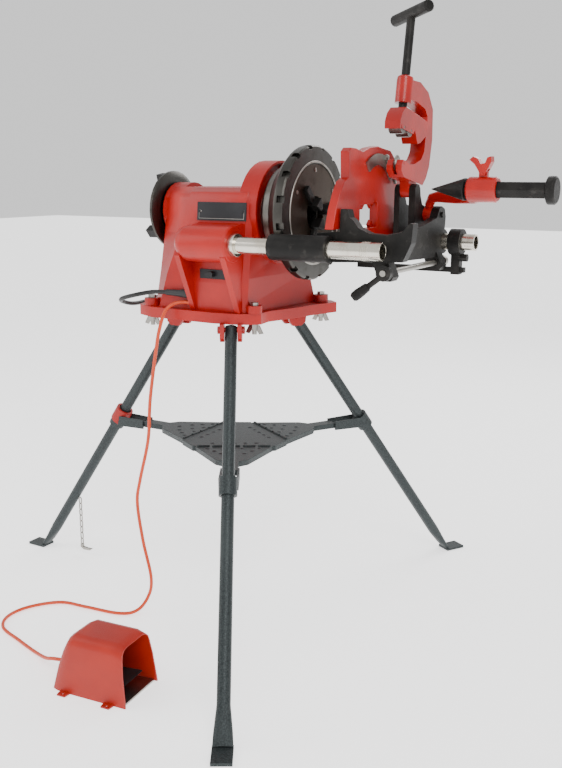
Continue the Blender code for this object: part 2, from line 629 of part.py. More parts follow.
def badges_and_switch():
    """Blank name plate, switch plate and the switch lever."""
    lean = (NAME_SLOPE_Y - FLANK_Y) / (0.913 - FLANK_Z)
    outline = []
    for z, out in ((0.8742, GAP), (0.8742, 0.0025), (0.9105, 0.0025), (0.9105, GAP)):
        outline.append((FLANK_Y + lean * (z - FLANK_Z) - out, z))
    plate = slab("plate", outline, "x", -0.014, 0.105)
    rivet_y = FLANK_Y + lean * (0.8923 - FLANK_Z) - 0.0015
    for x in (-0.0075, 0.0965):
        join(plate, rod("rivet", (x, rivet_y, 0.8923), (x, rivet_y - 0.0025, 0.8923), 0.0026, 8))
    node(plate, "name_plate", "plate_black")

    face = -PANEL_Y - GAP
    lever_x = (SWITCH_LOW + SWITCH_HIGH) / 2
    plate = box("plate", (SWITCH_LOW, face - 0.0022, SWITCH_Z - 0.0095), (SWITCH_HIGH, face,
        SWITCH_Z + 0.0095))
    cut(plate, rod("hole", (lever_x, face - 0.01, SWITCH_Z), (lever_x, face + 0.01, SWITCH_Z), 0.0048, 12))
    node(plate, "switch_plate", "plate_black")
    lever = rod("spindle", (lever_x, face - 0.0062, SWITCH_Z), (lever_x, -0.116, SWITCH_Z), 0.0043, 12)
    grip = [(lever_x - 0.014, SWITCH_Z - 0.003), (lever_x, SWITCH_Z - 0.0060), (lever_x + 0.005,
        SWITCH_Z - 0.004)]
    grip += [(lever_x + 0.005, SWITCH_Z + 0.004), (lever_x, SWITCH_Z + 0.0060), (lever_x - 0.014,
        SWITCH_Z + 0.003)]
    join(lever, slab("grip", grip, "y", face - 0.0115, face - 0.0030))
    node(lever, "switch_lever", "black_plastic", (lever_x, face, SWITCH_Z))


# ---------------------------------------------------------------- rails
def rails():
    for label, side, end in (("front", -1, FRONT_RAIL_END), ("rear", 1, REAR_RAIL_END)):
        y = side * RAIL_Y
        rail = tube("rail", (RAIL_START, y, RAIL_Z), (end, y, RAIL_Z), RAIL_R, RAIL_BORE, 20)
        join(rail, collar("nut", (0.1005, y, RAIL_Z), (1, 0, 0), 0.0115, 0.0228, RAIL_BORE, 20))
        node(rail, label + "_rail", "bright_nickel")


COLLAR_X = 0.436


def rack():
    low, high = COLLAR_X, COLLAR_X + 0.025
    body = rod("collar", (low, RAIL_Y, RAIL_Z), (high, RAIL_Y, RAIL_Z), 0.0268, 20)
    join(body, box("neck", (low + 0.004, RAIL_Y - 0.010, 0.764), (high - 0.003, RAIL_Y + 0.010, RAIL_Z)))
    cut(body, rod("bore", (low - 0.01, RAIL_Y, RAIL_Z), (high + 0.01, RAIL_Y, RAIL_Z), RAIL_R + GAP, 20))
    bar_low, bar_high = RACK_TOP - RACK_T, RACK_TOP
    cut(body, box("slot", (low - 0.01, RAIL_Y - 0.0065 - GAP, bar_low - GAP), (high + 0.01,
        RAIL_Y + 0.0065 + GAP, bar_high + GAP)))
    join(body, rod("screw", (high - 0.004, RAIL_Y - 0.002, 0.7985), (high + 0.012, RAIL_Y - 0.002,
        0.7985), 0.008, 10))
    node(body, "lock_collar", "dark_casting")
    bar = box("bar", (0.225, RAIL_Y - 0.0065, bar_low), (high + 0.006, RAIL_Y + 0.0065, bar_high))
    node(bar, "rack_bar", "dark_casting")


# ---------------------------------------------------------------- carriage
CHEEK_LOW, CHEEK_HIGH = 0.3385, 0.3837
EYE_LOW, EYE_HIGH = 0.3500, 0.3700
EYE_R = 0.0135
REAM_EYE_LOW, REAM_EYE_HIGH = 0.3840, 0.4030
REAM_EAR_END = 0.4200
PIN_R = 0.006


def cutter_pivot():
    """The axis about which the raised throat comes down onto the spindle axis."""
    oy, oz = CUT_OPEN
    dy, dz = oy, oz - SPINDLE_Z
    span = hypot(dy, dz)
    reach = span / 2 / tan(CUT_SWING / 2)
    return (oy / 2 + dz / span * reach, (oz + SPINDLE_Z) / 2 - dy / span * reach)


def carriage():
    wall = 0.020
    front = [(CARRIAGE_LEFT, 0.803), (CARRIAGE_RIGHT + 0.030, 0.811), (CARRIAGE_RIGHT + 0.046, 0.845)]
    front += [(CARRIAGE_RIGHT + 0.049, 0.880), (CARRIAGE_RIGHT + 0.043, 0.881), (CARRIAGE_RIGHT + 0.026,
        0.864)]
    front += [(0.418, 0.858), (0.385, 0.860), (0.362, 0.870), (0.352, 0.883), (0.344, 0.888), (0.340,
        0.9025)]
    front += [(0.326, 0.9035), (0.3240, 0.862), (CARRIAGE_LEFT, 0.858)]
    body = slab("front", front, "y", -0.131, -0.109)
    right = [(-0.130, 0.808), (0.120, 0.800), (0.150, 0.812), (0.158, 0.880), (0.152, 0.896), (0.135,
        0.902)]
    right += [(0.122, 0.897), (0.110, 0.880), (0.070, 0.872), (0.0, 0.862), (-0.045, 0.858), (-0.130,
        0.857)]
    join(body, slab("right", right, "x", REAM_EYE_HIGH + GAP, REAM_EAR_END))
    left = [(-0.130, 0.803), (0.135, 0.803), (0.135, 0.826), (-0.090, 0.826), (-0.130, 0.857)]
    join(body, slab("left", left, "x", CARRIAGE_LEFT, CARRIAGE_LEFT + 0.014))
    join(body, box("rear", (CARRIAGE_LEFT, 0.112, 0.803), (REAM_EAR_END, 0.140, 0.838)))
    join(body, rod("sleeve", (0.190, -RAIL_Y, RAIL_Z), (0.314, -RAIL_Y, RAIL_Z), SLEEVE_R, 20))
    join(body, rod("guide", (CARRIAGE_LEFT, RAIL_Y, RAIL_Z), (REAM_EAR_END, RAIL_Y, RAIL_Z), SLEEVE_R, 20))
    cy, cz = cutter_pivot()
    cheek = [(0.078, 0.818), (0.0795, cz)]
    for k in range(5):
        turn = radians(180 - 36 * (k + 0.5))
        cheek.append((cy + EYE_R * cos(turn), cz + EYE_R * sin(turn)))
    cheek += [(0.1085, cz - 0.010), (0.118, 0.905), (0.150, 0.897), (0.160, 0.880), (0.165, 0.835),
        (0.120, 0.818)]
    for low, high in ((CHEEK_LOW, EYE_LOW - GAP), (EYE_HIGH + GAP, CHEEK_HIGH)):
        join(body, slab("cheek", cheek, "x", low, high))
    die_ear = [(0.108, 0.830), (0.108, 0.868), (0.118, 0.878), (0.138, 0.878), (0.148, 0.868), (0.148,
        0.830)]
    die_back = DIE_FACE - DIE_T - GAP
    join(body, slab("ear", die_ear, "x", die_back - 0.014, die_back))
    trough = turned("trough", (die_back, *DIE_PIVOT), (1, 0, 0), [(0, 0.0225), (0.0320, 0.0225)], 20)
    cut(body, trough)
    for low, high in ((-0.126, -0.098), (0.112, 0.1405)):
        block = [(PINION_X - 0.018, PINION_Z - 0.008), (PINION_X - 0.009, PINION_Z - 0.016)]
        block += [(PINION_X + 0.009, PINION_Z - 0.016), (PINION_X + 0.014, PINION_Z - 0.008)]
        block += [(PINION_X + 0.002, 0.812), (PINION_X - 0.030, 0.812)]
        join(body, slab("boss", block, "y", low, high))
    join(body, rod("pin", (CHEEK_LOW + 0.002, cy, cz), (CHEEK_HIGH - 0.002, cy, cz), PIN_R, 12))
    join(body, rod("pin", (0.3765, *REAM_PIVOT), (REAM_EAR_END + 0.004, *REAM_PIVOT), PIN_R, 12))
    join(body, rod("pin", (die_back - 0.016, *DIE_PIVOT), (DIE_FACE + 0.003, *DIE_PIVOT), PIN_R, 12))
    cut(body, rod("shaft", (PINION_X, -0.2, PINION_Z), (PINION_X, 0.2, PINION_Z), 0.0060 + RUN, 12))
    for side in (-1, 1):
        cut(body, rod("bore", (0.1, side * RAIL_Y, RAIL_Z), (0.5, side * RAIL_Y, RAIL_Z), RAIL_R + RUN, 20))
    node(body, "carriage", "dark_casting", (0, RAIL_Y, RAIL_Z))


LEVER_HUB_Y = -0.1265


def carriage_lever():
    shaft = rod("shaft", (PINION_X, LEVER_HUB_Y - 0.016, PINION_Z), (PINION_X, 0.1585, PINION_Z), 0.0060,
        12)
    join(shaft, rod("pinion", (PINION_X, 0.1470, PINION_Z), (PINION_X, 0.1590, PINION_Z), PINION_R, 16))
    node(shaft, "pinion_shaft", "machined_steel", (PINION_X, 0, PINION_Z))
    hub = rod("hub", (PINION_X, LEVER_HUB_Y - 0.0135, PINION_Z), (PINION_X, LEVER_HUB_Y, PINION_Z),
        0.0150, 16)
    start = Vector((PINION_X - 0.008, LEVER_HUB_Y - 0.008, PINION_Z - 0.008))
    end = Vector((0.366, -0.158, 0.7435))
    along = end - start
    length = along.length
    profile = [(0, 0.0055), (0.026, 0.0055), (0.029, 0.0082), (length - 0.014, 0.0098), (length - 0.004,
        0.0092), (length, 0.006)]
    join(hub, turned("grip", start, along, profile, 14))
    cut(hub, rod("bore", (PINION_X, -0.2, PINION_Z), (PINION_X, LEVER_HUB_Y + 0.01, PINION_Z),
        0.0060 + GAP, 12))
    node(hub, "carriage_lever", "dark_casting", (PINION_X, 0, PINION_Z))


# ---------------------------------------------------------------- die head


def die_block(angle, reach, back):
    """One thread die, held in the head and pointing at the spindle axis."""
    turn = radians(angle)
    out = Vector((0, cos(turn), sin(turn)))
    side = Vector((0, -sin(turn), cos(turn)))
    middle = Vector((back + 0.007, 0, SPINDLE_Z))
    rings = []
    for x in (0.0, 0.007):
        face = ((0.0215, -0.0070), (reach, -0.0085), (reach, 0.0085), (0.0215, 0.0070))
        rings.append([middle + Vector((x, 0, 0)) + out * a + side * b for a, b in face])
    return loft("die", rings)


def die_head():
    shape = [(-0.150, 0.866), (-0.137, 0.905), (-0.120, 0.935), (-0.106, 0.953), (-0.088, 0.960), (-0.090,
        1.008)]
    shape += [(-0.080, 1.015), (-0.060, 1.0145), (-0.030, 1.008), (0.000, 1.016), (0.035, 1.020), (0.098,
        1.012)]
    shape += [(0.128, 0.990), (0.147, 0.968), (0.156, 0.942), (0.146, 0.909), (0.1335, 0.894), (0.1340,
        0.881)]
    shape += [(0.1430, 0.871), (0.1455, 0.858), (0.137, 0.8445)]
    shape += [(0.118, 0.8425), (-0.002, 0.8425), (-0.014, 0.850), (-0.010, 0.861), (0.040, 0.862), (0.040,
        0.912)]
    shape += [(0.024, 0.913), (0.020, 0.908), (-0.0385, 0.908), (-0.0385, 0.866)]
    shape = [(y, z + DIE_RISE) for y, z in shape]
    back = DIE_FACE - DIE_T
    body = slab("head", shape, "x", back, DIE_FACE)
    cut(body, rod("bore", (0.2, *DIE_PIVOT), (0.4, *DIE_PIVOT), PIN_R + GAP + 0.0002, 12))
    origin = (0, *DIE_PIVOT)
    for angle, reach in ((45.0, 0.045), (135.0, 0.045), (315.0, 0.060)):
        join(body, die_block(angle, reach, back))
    node(body, "die_head", "red_enamel", origin)

    x0 = DIE_FACE + GAP
    quadrant = []
    for k in range(9):
        turn = radians(128 - 12 * k)
        quadrant.append((0.035 + 0.086 * cos(turn), 0.920 + DIE_RISE + 0.086 * sin(turn)))
    for k in range(9):
        turn = radians(32 + 12 * k)
        quadrant.append((0.035 + 0.064 * cos(turn), 0.920 + DIE_RISE + 0.064 * sin(turn)))
    plate = slab("cam", quadrant, "x", x0, x0 + 0.004)
    knob_z = 0.993 + DIE_RISE
    join(plate, box("knob", (x0 + 0.002, 0.058, knob_z), (x0 + 0.008, 0.070, knob_z + 0.010)))
    arm_start = Vector((x0 + 0.0060, 0.0640, 0.9985 + DIE_RISE))
    arm_end = Vector((x0 + 0.0065, 0.1080, 0.9480 + DIE_RISE))
    join(plate, rod("arm", arm_start, arm_end, 0.0038, 10))
    ball = [(-0.0055, 0.0018), (-0.004, 0.0046), (0, 0.0062), (0.004, 0.0046), (0.0055, 0.0018)]
    join(plate, turned("ball", arm_start, (0, -0.6, 0.8), ball, 10))
    cut(plate, box("trim", (x0 - 0.02, -0.2, 0.8), (x0, 0.3, 1.3)))
    node(plate, "die_lever", "machined_steel", (0, 0.035, 0.920 + DIE_RISE))


# ---------------------------------------------------------------- pipe cutter
def cutter_point(a, b, x=CUT_X):
    """World point from the cutter's own directions: a along its screw, b towards its spine."""
    oy, oz = CUT_OPEN
    return Vector((x, oy + a * sin(CUT_LEAN) + b * cos(CUT_LEAN),
        oz + a * cos(CUT_LEAN) - b * sin(CUT_LEAN)))


def cutter_slab(name, outline, half, shift=0.0):
    rings = []
    for x in (CUT_X - half + shift, CUT_X + half + shift):
        rings.append([cutter_point(a, b, x) for a, b in outline])
    return loft(name, rings)


SCREW_R = 0.0085
SLEEVE_LOW, SLEEVE_HIGH = 0.076, 0.128
WHEEL_AT = (-0.040, 0.0)
ROLLER_A = 0.0265
ROLLER_B = 0.0165
ROLLER_R = 0.0125


def pipe_cutter():
    py, pz = cutter_pivot()
    origin = (0, py, pz)
    along = cutter_point(1, 0) - cutter_point(0, 0)
    oy, oz = CUT_OPEN
    dy, dz = py - oy, pz - oz
    eye_a = dy * sin(CUT_LEAN) + dz * cos(CUT_LEAN)
    eye_b = dy * cos(CUT_LEAN) - dz * sin(CUT_LEAN)
    foot = eye_a + EYE_R + 0.0038
    shape = [(SLEEVE_LOW + 0.006, 0.0), (0.120, 0.0), (0.126, 0.040), (0.117, 0.084), (0.090, 0.116)]
    shape += [(0.031, 0.128), (-0.024, 0.125), (-0.050, 0.114), (foot, 0.100), (foot, 0.004)]
    shape += [(-0.056, -0.012), (-0.046, -0.014), (-0.0345, -0.009), (-0.0345, 0.010), (-0.038, 0.024)]
    shape += [(-0.034, 0.046), (-0.018, 0.080)]
    shape += [(0.000, 0.0915), (0.070, 0.0915), (0.082, 0.076), (0.086, 0.030)]
    body = cutter_slab("frame", shape, CUT_T / 2)
    sleeve = [(0, 0.0165), (0.044, 0.0165), (0.050, 0.0155), (0.052, 0.013)]
    join(body, turned("sleeve", cutter_point(SLEEVE_LOW, 0), along, sleeve, 20))
    join(body, rod("eye", (EYE_LOW, py, pz), (EYE_HIGH, py, pz), EYE_R, 16))
    half = (EYE_HIGH - EYE_LOW) / 2
    arm = [(eye_a, eye_b - EYE_R + 0.001), (foot + 0.004, eye_b - 0.020), (foot + 0.004, eye_b + 0.024),
        (eye_a, eye_b + EYE_R - 0.001)]
    join(body, cutter_slab("arm", arm, half))
    cut(body, rod("bore", (0.3, py, pz), (0.4, py, pz), PIN_R + GAP, 12))
    cut(body, rod("bore", cutter_point(SLEEVE_LOW - 0.02, 0), cutter_point(SLEEVE_HIGH + 0.03, 0),
        SCREW_R + GAP, 16))
    slot = [(-0.0620, -0.030), (-0.010, -0.030), (-0.010, 0.021), (-0.0620, 0.021)]
    cut(body, cutter_slab("slot", slot, 0.0036))
    join(body, rod("pin", cutter_point(*WHEEL_AT, CUT_X - 0.0165), cutter_point(*WHEEL_AT,
        CUT_X + 0.0165), 0.0033, 12))
    node(body, "cutter_frame", "red_enamel", origin)

    wheel = turned("wheel", cutter_point(*WHEEL_AT, CUT_X - 0.0032), (1, 0, 0), [(0, 0.011), (0.0027,
        0.0130), (0.0032, 0.0165), (0.0037, 0.0130), (0.0064, 0.011)], 20)
    cut(wheel, rod("bore", cutter_point(*WHEEL_AT, 0.3), cutter_point(*WHEEL_AT, 0.4), 0.0033 + GAP, 12))
    node(wheel, "cutter_wheel", "machined_steel", cutter_point(*WHEEL_AT))
    block = [(0.064, -0.020), (0.064, 0.012), (0.060, 0.0905), (0.030, 0.0905), (0.012, 0.066), (0.008,
        0.052), (0.030, 0.034)]
    block += [(0.042, 0.030), (0.042, -0.026), (0.030, -0.033), (0.020, -0.033), (0.020, -0.038), (0.034,
        -0.040), (0.050, -0.034)]
    shoe = cutter_slab("shoe", block, 0.0165)
    for side in (-1, 1):
        cheek = [(0.050, -0.034), (0.034, -0.036), (0.022, -0.028), (0.0220, 0.028), (0.036, 0.036),
            (0.050, 0.036)]
        join(shoe, cutter_slab("cheek", cheek, 0.0012, side * 0.0153))
    cut(shoe, rod("socket", cutter_point(0.0545, 0), cutter_point(0.08, 0), SCREW_R + 0.0005, 16))
    for b in (-ROLLER_B, ROLLER_B):
        cut(shoe, rod("hole", cutter_point(ROLLER_A, b, 0.3), cutter_point(ROLLER_A, b, 0.4), 0.0033, 10))
    node(shoe, "cutter_slide", "red_enamel", cutter_point(0, 0))
    for label, b in (("front", -ROLLER_B), ("back", ROLLER_B)):
        roller = rod("roller", cutter_point(ROLLER_A, b, CUT_X - 0.0136), cutter_point(ROLLER_A, b,
            CUT_X + 0.0136), ROLLER_R, 16)
        join(roller, rod("axle", cutter_point(ROLLER_A, b, CUT_X - 0.0163), cutter_point(ROLLER_A, b,
            CUT_X + 0.0163), 0.0029, 10))
        node(roller, "cutter_roller_" + label, "machined_steel", cutter_point(ROLLER_A, b))

    screw = rod("screw", cutter_point(0.0548, 0), cutter_point(0.248, 0), SCREW_R, 16)
    across = Vector((cos(T_TURN), -sin(T_TURN) * cos(CUT_LEAN), sin(T_TURN) * sin(CUT_LEAN)))
    top = cutter_point(0.248, 0)
    profile = [(0, 0.0085), (0.003, 0.0115), (T_HALF * 2 - 0.003, 0.0115), (T_HALF * 2, 0.0085)]
    join(screw, turned("bar", top - across * T_HALF, across, profile, 14))
    node(screw, "feed_screw", "dark_casting", cutter_point(0, 0))


T_TURN = radians(35.0)
T_HALF = 0.064


# ---------------------------------------------------------------- reamer
def reamer():
    py, pz = REAM_PIVOT
    origin = (0, py, pz)
    hub_y, hub_z = turn_about_x((0.0, SPINDLE_Z), REAM_PIVOT, -REAM_RAISE)
    route = [((REAM_EYE_LOW + REAM_EYE_HIGH) / 2, py, pz), (0.394, 0.131, 0.905), (0.402, 0.126, 0.9185),
        (0.420, 0.118, 0.9215)]
    route += [(0.470, 0.086, 0.9200), (0.520, 0.048, 0.9230), (0.5400, 0.026, hub_z - 0.010)]
    radii = [0.0085, 0.0095, 0.0105, 0.0115, 0.0115, 0.0120, 0.0125]
    route = [Vector(p) for p in route]
    rings = []
    for k, (spot, r) in enumerate(zip(route, radii)):
        ahead = route[min(k + 1, len(route) - 1)] - route[max(k - 1, 0)]
        rings.append(ring(spot, ahead, r, 12))
    arm = loft("arm", rings)
    join(arm, rod("eye", (REAM_EYE_LOW, py, pz), (REAM_EYE_HIGH, py, pz), 0.0155, 16))
    join(arm, turned("hub", (REAM_HUB_X - 0.0285, hub_y, hub_z), (1, 0, 0), [(0, 0.0205), (0.003, 0.0235),
        (0.054, 0.0235), (0.057, 0.0205)], 20))
    join(arm, box("latch_post", (REAM_HUB_X - 0.008, hub_y - 0.0045, hub_z + 0.018), (REAM_HUB_X + 0.008,
        hub_y + 0.0045, hub_z + 0.034)))
    cut(arm, rod("bore", (0.3, py, pz), (0.45, py, pz), PIN_R + GAP, 12))
    cut(arm, rod("bore", (0.45, hub_y, hub_z), (0.65, hub_y, hub_z), BAR_R + RUN, 6))
    cut(arm, rod("pin", (REAM_HUB_X, hub_y - 0.02, hub_z + 0.028), (REAM_HUB_X, hub_y + 0.02,
        hub_z + 0.028), 0.0029, 10))
    node(arm, "reamer_arm", "red_enamel", origin)

    profile = [(0.446, 0.0008), (0.512, 0.0210), (0.515, 0.0210), (0.5153, BAR_R)]
    bar = turned("cone", (0, hub_y, hub_z), (1, 0, 0), profile, 18)
    join(bar, rod("bar", (0.5151, hub_y, hub_z), (0.668, hub_y, hub_z), BAR_R, 6))
    join(bar, turned("knob", (0.667, hub_y, hub_z), (1, 0, 0), [(0, 0.022), (0.002, 0.0255), (0.014,
        0.0255), (0.017, 0.022)], 20))
    node(bar, "reamer_bar", "dark_casting", (0, hub_y, hub_z))

    z = hub_z + 0.028
    latch = [(REAM_HUB_X - 0.026, z + 0.026), (REAM_HUB_X - 0.019, z + 0.032), (REAM_HUB_X - 0.010,
        z + 0.028)]
    latch += [(REAM_HUB_X - 0.004, z + 0.018), (REAM_HUB_X + 0.004, z + 0.020), (REAM_HUB_X + 0.008,
        z + 0.030)]
    latch += [(REAM_HUB_X + 0.015, z + 0.032), (REAM_HUB_X + 0.016, z + 0.022), (REAM_HUB_X + 0.007,
        z + 0.004)]
    latch += [(REAM_HUB_X + 0.004, z - 0.003), (REAM_HUB_X - 0.004, z - 0.003), (REAM_HUB_X - 0.008,
        z + 0.006), (REAM_HUB_X - 0.016, z + 0.018)]
    lever = slab("latch", latch, "y", hub_y - 0.009, hub_y + 0.009)
    cut(lever, box("slot", (REAM_HUB_X - 0.012, hub_y - 0.0045 - GAP, z - 0.02), (REAM_HUB_X + 0.012,
        hub_y + 0.0045 + GAP, z + 0.0095)))
    join(lever, rod("pin", (REAM_HUB_X, hub_y - 0.0105, z), (REAM_HUB_X, hub_y + 0.0105, z), 0.0026, 10))
    node(lever, "reamer_latch", "red_enamel", (REAM_HUB_X, hub_y, z))


BAR_R = 0.0165


# ---------------------------------------------------------------- foot switch
def switch_point(along, across, up):
    """World point from the foot switch's own length and width."""
    c, k = cos(SWITCH_YAW), sin(SWITCH_YAW)
    return Vector((SWITCH_CENTRE[0] + along * c - across * k, SWITCH_CENTRE[1] + along * k + across * c,
        up))


def hood_ring(along, half, height, inset, lean=0.0):
    """An arched outline across the hood; the lean tips its top along the hood's length."""
    foot = -0.01 if inset else 0.0
    half, top = half - inset, height - inset
    corner = 0.020 - inset * 0.5
    shape = [(-half, foot), (-half + 0.004, top * 0.55)]
    for k in range(4):
        turn = radians(180 - 30 * k)
        shape.append((-half + 0.009 + corner + corner * cos(turn), top - corner + corner * sin(turn)))
    shape += [(-b, z) for b, z in reversed(shape)]
    return [switch_point(along + lean * z / height, b, z) for b, z in shape]


def hood_loft(inset):
    length, width, height = SWITCH_SIZE
    half = width / 2
    levels = [(-length / 2 + inset, half - 0.006, height - 0.026, 0.022), (-length / 2 + 0.012 + inset,
        half - 0.002, height - 0.006, 0.022)]
    levels += [(-length / 2 + 0.034, half, height, 0.012), (length / 2 - 0.040, half, height, 0.010)]
    levels += [(length / 2 + (0.01 if inset else 0.0), half, height - 0.006, -0.012)]
    return loft("shell", [hood_ring(a, w, h, inset, lean) for a, w, h, lean in levels])


def foot_switch():
    """A hood over a pedal. The foot goes in at the front, under the hood."""
    length, width, _ = SWITCH_SIZE
    shell = hood_loft(0.0)
    for along, across in ((-0.052, -1), (-0.052, 1), (0.048, -1), (0.048, 1)):
        low, high = across * (width / 2 - 0.005), across * (width / 2 + 0.014)
        tab = [switch_point(a, b, 0.0) for a, b in ((along - 0.012, low), (along + 0.012, low),
            (along + 0.009, high), (along - 0.009, high))]
        rings = [tab, [p + Vector((0, 0, SWITCH_WALL)) for p in tab]]
        join(shell, loft("tab", rings))
        spot = switch_point(along, across * (width / 2 + 0.007), 0)
        cut(shell, rod("hole", spot - Vector((0, 0, 0.01)), spot + Vector((0, 0, 0.02)), 0.0030, 8))
    cut(shell, hood_loft(SWITCH_WALL))
    entry = switch_point(-length / 2 - 0.02, 0.0, CORD_ENTRY_Z)
    cut(shell, rod("cord_hole", entry, switch_point(-0.05, 0.0, CORD_ENTRY_Z), FOOT_CORD_R + 0.0006, 12))
    pivot = switch_point(PEDAL_PIVOT, 0, PEDAL_PIVOT_Z)
    node(shell, "foot_switch_hood", "orange_shell")

    half = width / 2 - SWITCH_WALL - GAP - 0.001
    floor = [switch_point(a, b, 0.0) for a, b in ((-0.068, -half + 0.004), (0.078, -half), (0.078, half),
        (-0.068, half - 0.004))]
    base = loft("base", [floor, [p + Vector((0, 0, 0.0035)) for p in floor]])
    for side in (-1, 1):
        rings = []
        for b in (side * 0.033, side * 0.037):
            face = ((PEDAL_PIVOT - 0.010, 0.003), (PEDAL_PIVOT + 0.010, 0.003), (PEDAL_PIVOT + 0.006,
                0.026), (PEDAL_PIVOT - 0.006, 0.026))
            rings.append([switch_point(a, b, z) for a, z in face])
        join(base, loft("bracket", rings))
    across = switch_point(0, 1, 0) - switch_point(0, 0, 0)
    join(base, rod("pin", pivot - across * 0.036, pivot + across * 0.036, 0.0030, 10))
    box_low, box_high = -0.064, -0.034
    block = [switch_point(a, b, 0.003) for a, b in ((box_low, -0.018), (box_high, -0.018), (box_high,
        0.018), (box_low, 0.018))]
    join(base, loft("contact_box", [block, [p + Vector((0, 0, 0.026)) for p in block]]))
    node(base, "foot_switch_base", "machined_steel")

    rings = []
    for b in (-0.0325, 0.0325):
        face = ((PEDAL_PIVOT - 0.006, 0.0165), (PEDAL_PIVOT + 0.006, 0.0165), (0.062, 0.0250), (0.066,
            0.0290), (0.060, 0.0300))
        face += ((PEDAL_PIVOT + 0.006, 0.0245), (PEDAL_PIVOT - 0.006, 0.0245))
        rings.append([switch_point(a, b, z) for a, z in face])
    pedal = loft("pedal", rings)
    cut(pedal, rod("bore", pivot - across * 0.05, pivot + across * 0.05, 0.0030 + GAP, 10))
    node(pedal, "foot_pedal", "black_plastic", pivot)


PEDAL_PIVOT, PEDAL_PIVOT_Z = -0.020, 0.0205
CORD_ENTRY_Z = 0.030


# ---------------------------------------------------------------- cords and chain
FOOT_CORD_ROUTE = [
    (-0.0247, -0.1290, 0.7045), (-0.0420, -0.1295, 0.7045), (-0.0580, -0.1430, 0.7010), (-0.0680, -0.1585,
        0.6860),
    (-0.0760, -0.1680, 0.6500), (-0.085, -0.170, 0.6055), (-0.105, -0.170, 0.495), (-0.114, -0.170, 0.405),
    (-0.140, -0.170, 0.310), (-0.150, -0.170, 0.255), (-0.138, -0.170, 0.170), (-0.118, -0.170, 0.085),
    (-0.126, -0.172, 0.038), (-0.141, -0.196, 0.0095), (-0.175, -0.2200, 0.0045), (-0.261, -0.233, 0.0045),
    (-0.3250, -0.2450, 0.0045), (-0.369, -0.2980, 0.0045), (-0.3765, -0.3550, 0.0045), (-0.345, -0.4000,
        0.0045),
    (-0.273, -0.4240, 0.0045), (-0.205, -0.4460, 0.0070), (-0.155, -0.4660, 0.0170), (-0.125, -0.4735,
        0.0270),
    (-0.098, -0.4710, 0.0300), (-0.074, -0.4685, 0.0300),
]
POWER_CORD_ROUTE = [
    (-0.0855, -0.1305, 0.7230), (-0.120, -0.1360, 0.7215), (-0.160, -0.1500, 0.7130), (-0.195, -0.1450,
        0.7030),
    (-0.212, -0.120, 0.6930), (-0.216, -0.080, 0.6840), (-0.218, -0.030, 0.6840), (-0.216, 0.030, 0.6920),
    (-0.206, 0.080, 0.7020), (-0.186, 0.112, 0.7040), (-0.160, 0.1320, 0.6990), (-0.130, 0.1420, 0.7050),
    (-0.106, 0.1435, 0.7080), (-0.0906, 0.1435, 0.7080),
]


def smooth_route(points, spacing):
    """Points read at even spacing from a smooth curve through the route."""
    ends = [2 * Vector(points[0]) - Vector(points[1])] + [Vector(p) for p in points]
    ends.append(2 * Vector(points[-1]) - Vector(points[-2]))
    fine = []
    for k in range(1, len(ends) - 2):
        a, b, c, d = ends[k - 1:k + 3]
        for step in range(20):
            t = step / 20
            fine.append(0.5 * (2 * b + (c - a) * t + (2 * a - 5 * b + 4 * c - d) * t * t + (
                3 * b - a - 3 * c + d) * t ** 3))
    fine.append(Vector(points[-1]))
    total = sum((q - p).length for p, q in zip(fine, fine[1:]))
    count = max(2, round(total / spacing))
    even, travelled, k = [fine[0]], 0.0, 0
    for step in range(1, count):
        wanted = total * step / count
        while travelled + (fine[k + 1] - fine[k]).length < wanted:
            travelled += (fine[k + 1] - fine[k]).length
            k += 1
        share = (wanted - travelled) / (fine[k + 1] - fine[k]).length
        even.append(fine[k].lerp(fine[k + 1], share))
    return even + [fine[-1]]


def cord(name, route, radius, spacing, finish_name):
    curve = bpy.data.curves.new(name, "CURVE")
    curve.dimensions = "3D"
    curve.bevel_depth = radius
    curve.bevel_resolution = 2
    curve.resolution_u = 1
    curve.render_resolution_u = 0
    curve.use_fill_caps = True
    points = smooth_route(route, spacing)
    spline = curve.splines.new("POLY")
    spline.points.add(len(points) - 1)
    for spot, point in zip(spline.points, points):
        spot.co = (*point, 1.0)
    thing = bpy.data.objects.new(name, curve)
    bpy.context.scene.collection.objects.link(thing)
    mesh = bpy.data.meshes.new_from_object(thing.evaluated_get(bpy.context.evaluated_depsgraph_get()))
    bpy.data.objects.remove(thing, do_unlink=True)
    shape = bmesh.new()
    shape.from_mesh(mesh)
    bmesh.ops.remove_doubles(shape, verts=shape.verts, dist=0.00001)
    bmesh.ops.recalc_face_normals(shape, faces=shape.faces)
    shape.to_mesh(mesh)
    shape.free()
    tube_piece = bpy.data.objects.new(name, mesh)
    bpy.context.scene.collection.objects.link(tube_piece)
    node(tube_piece, name, finish_name)


HANK_Y = 0.1435
HANK_LENGTH = 0.180
HANK_WIDTH = 0.0285
HANK_HEIGHT = 0.044


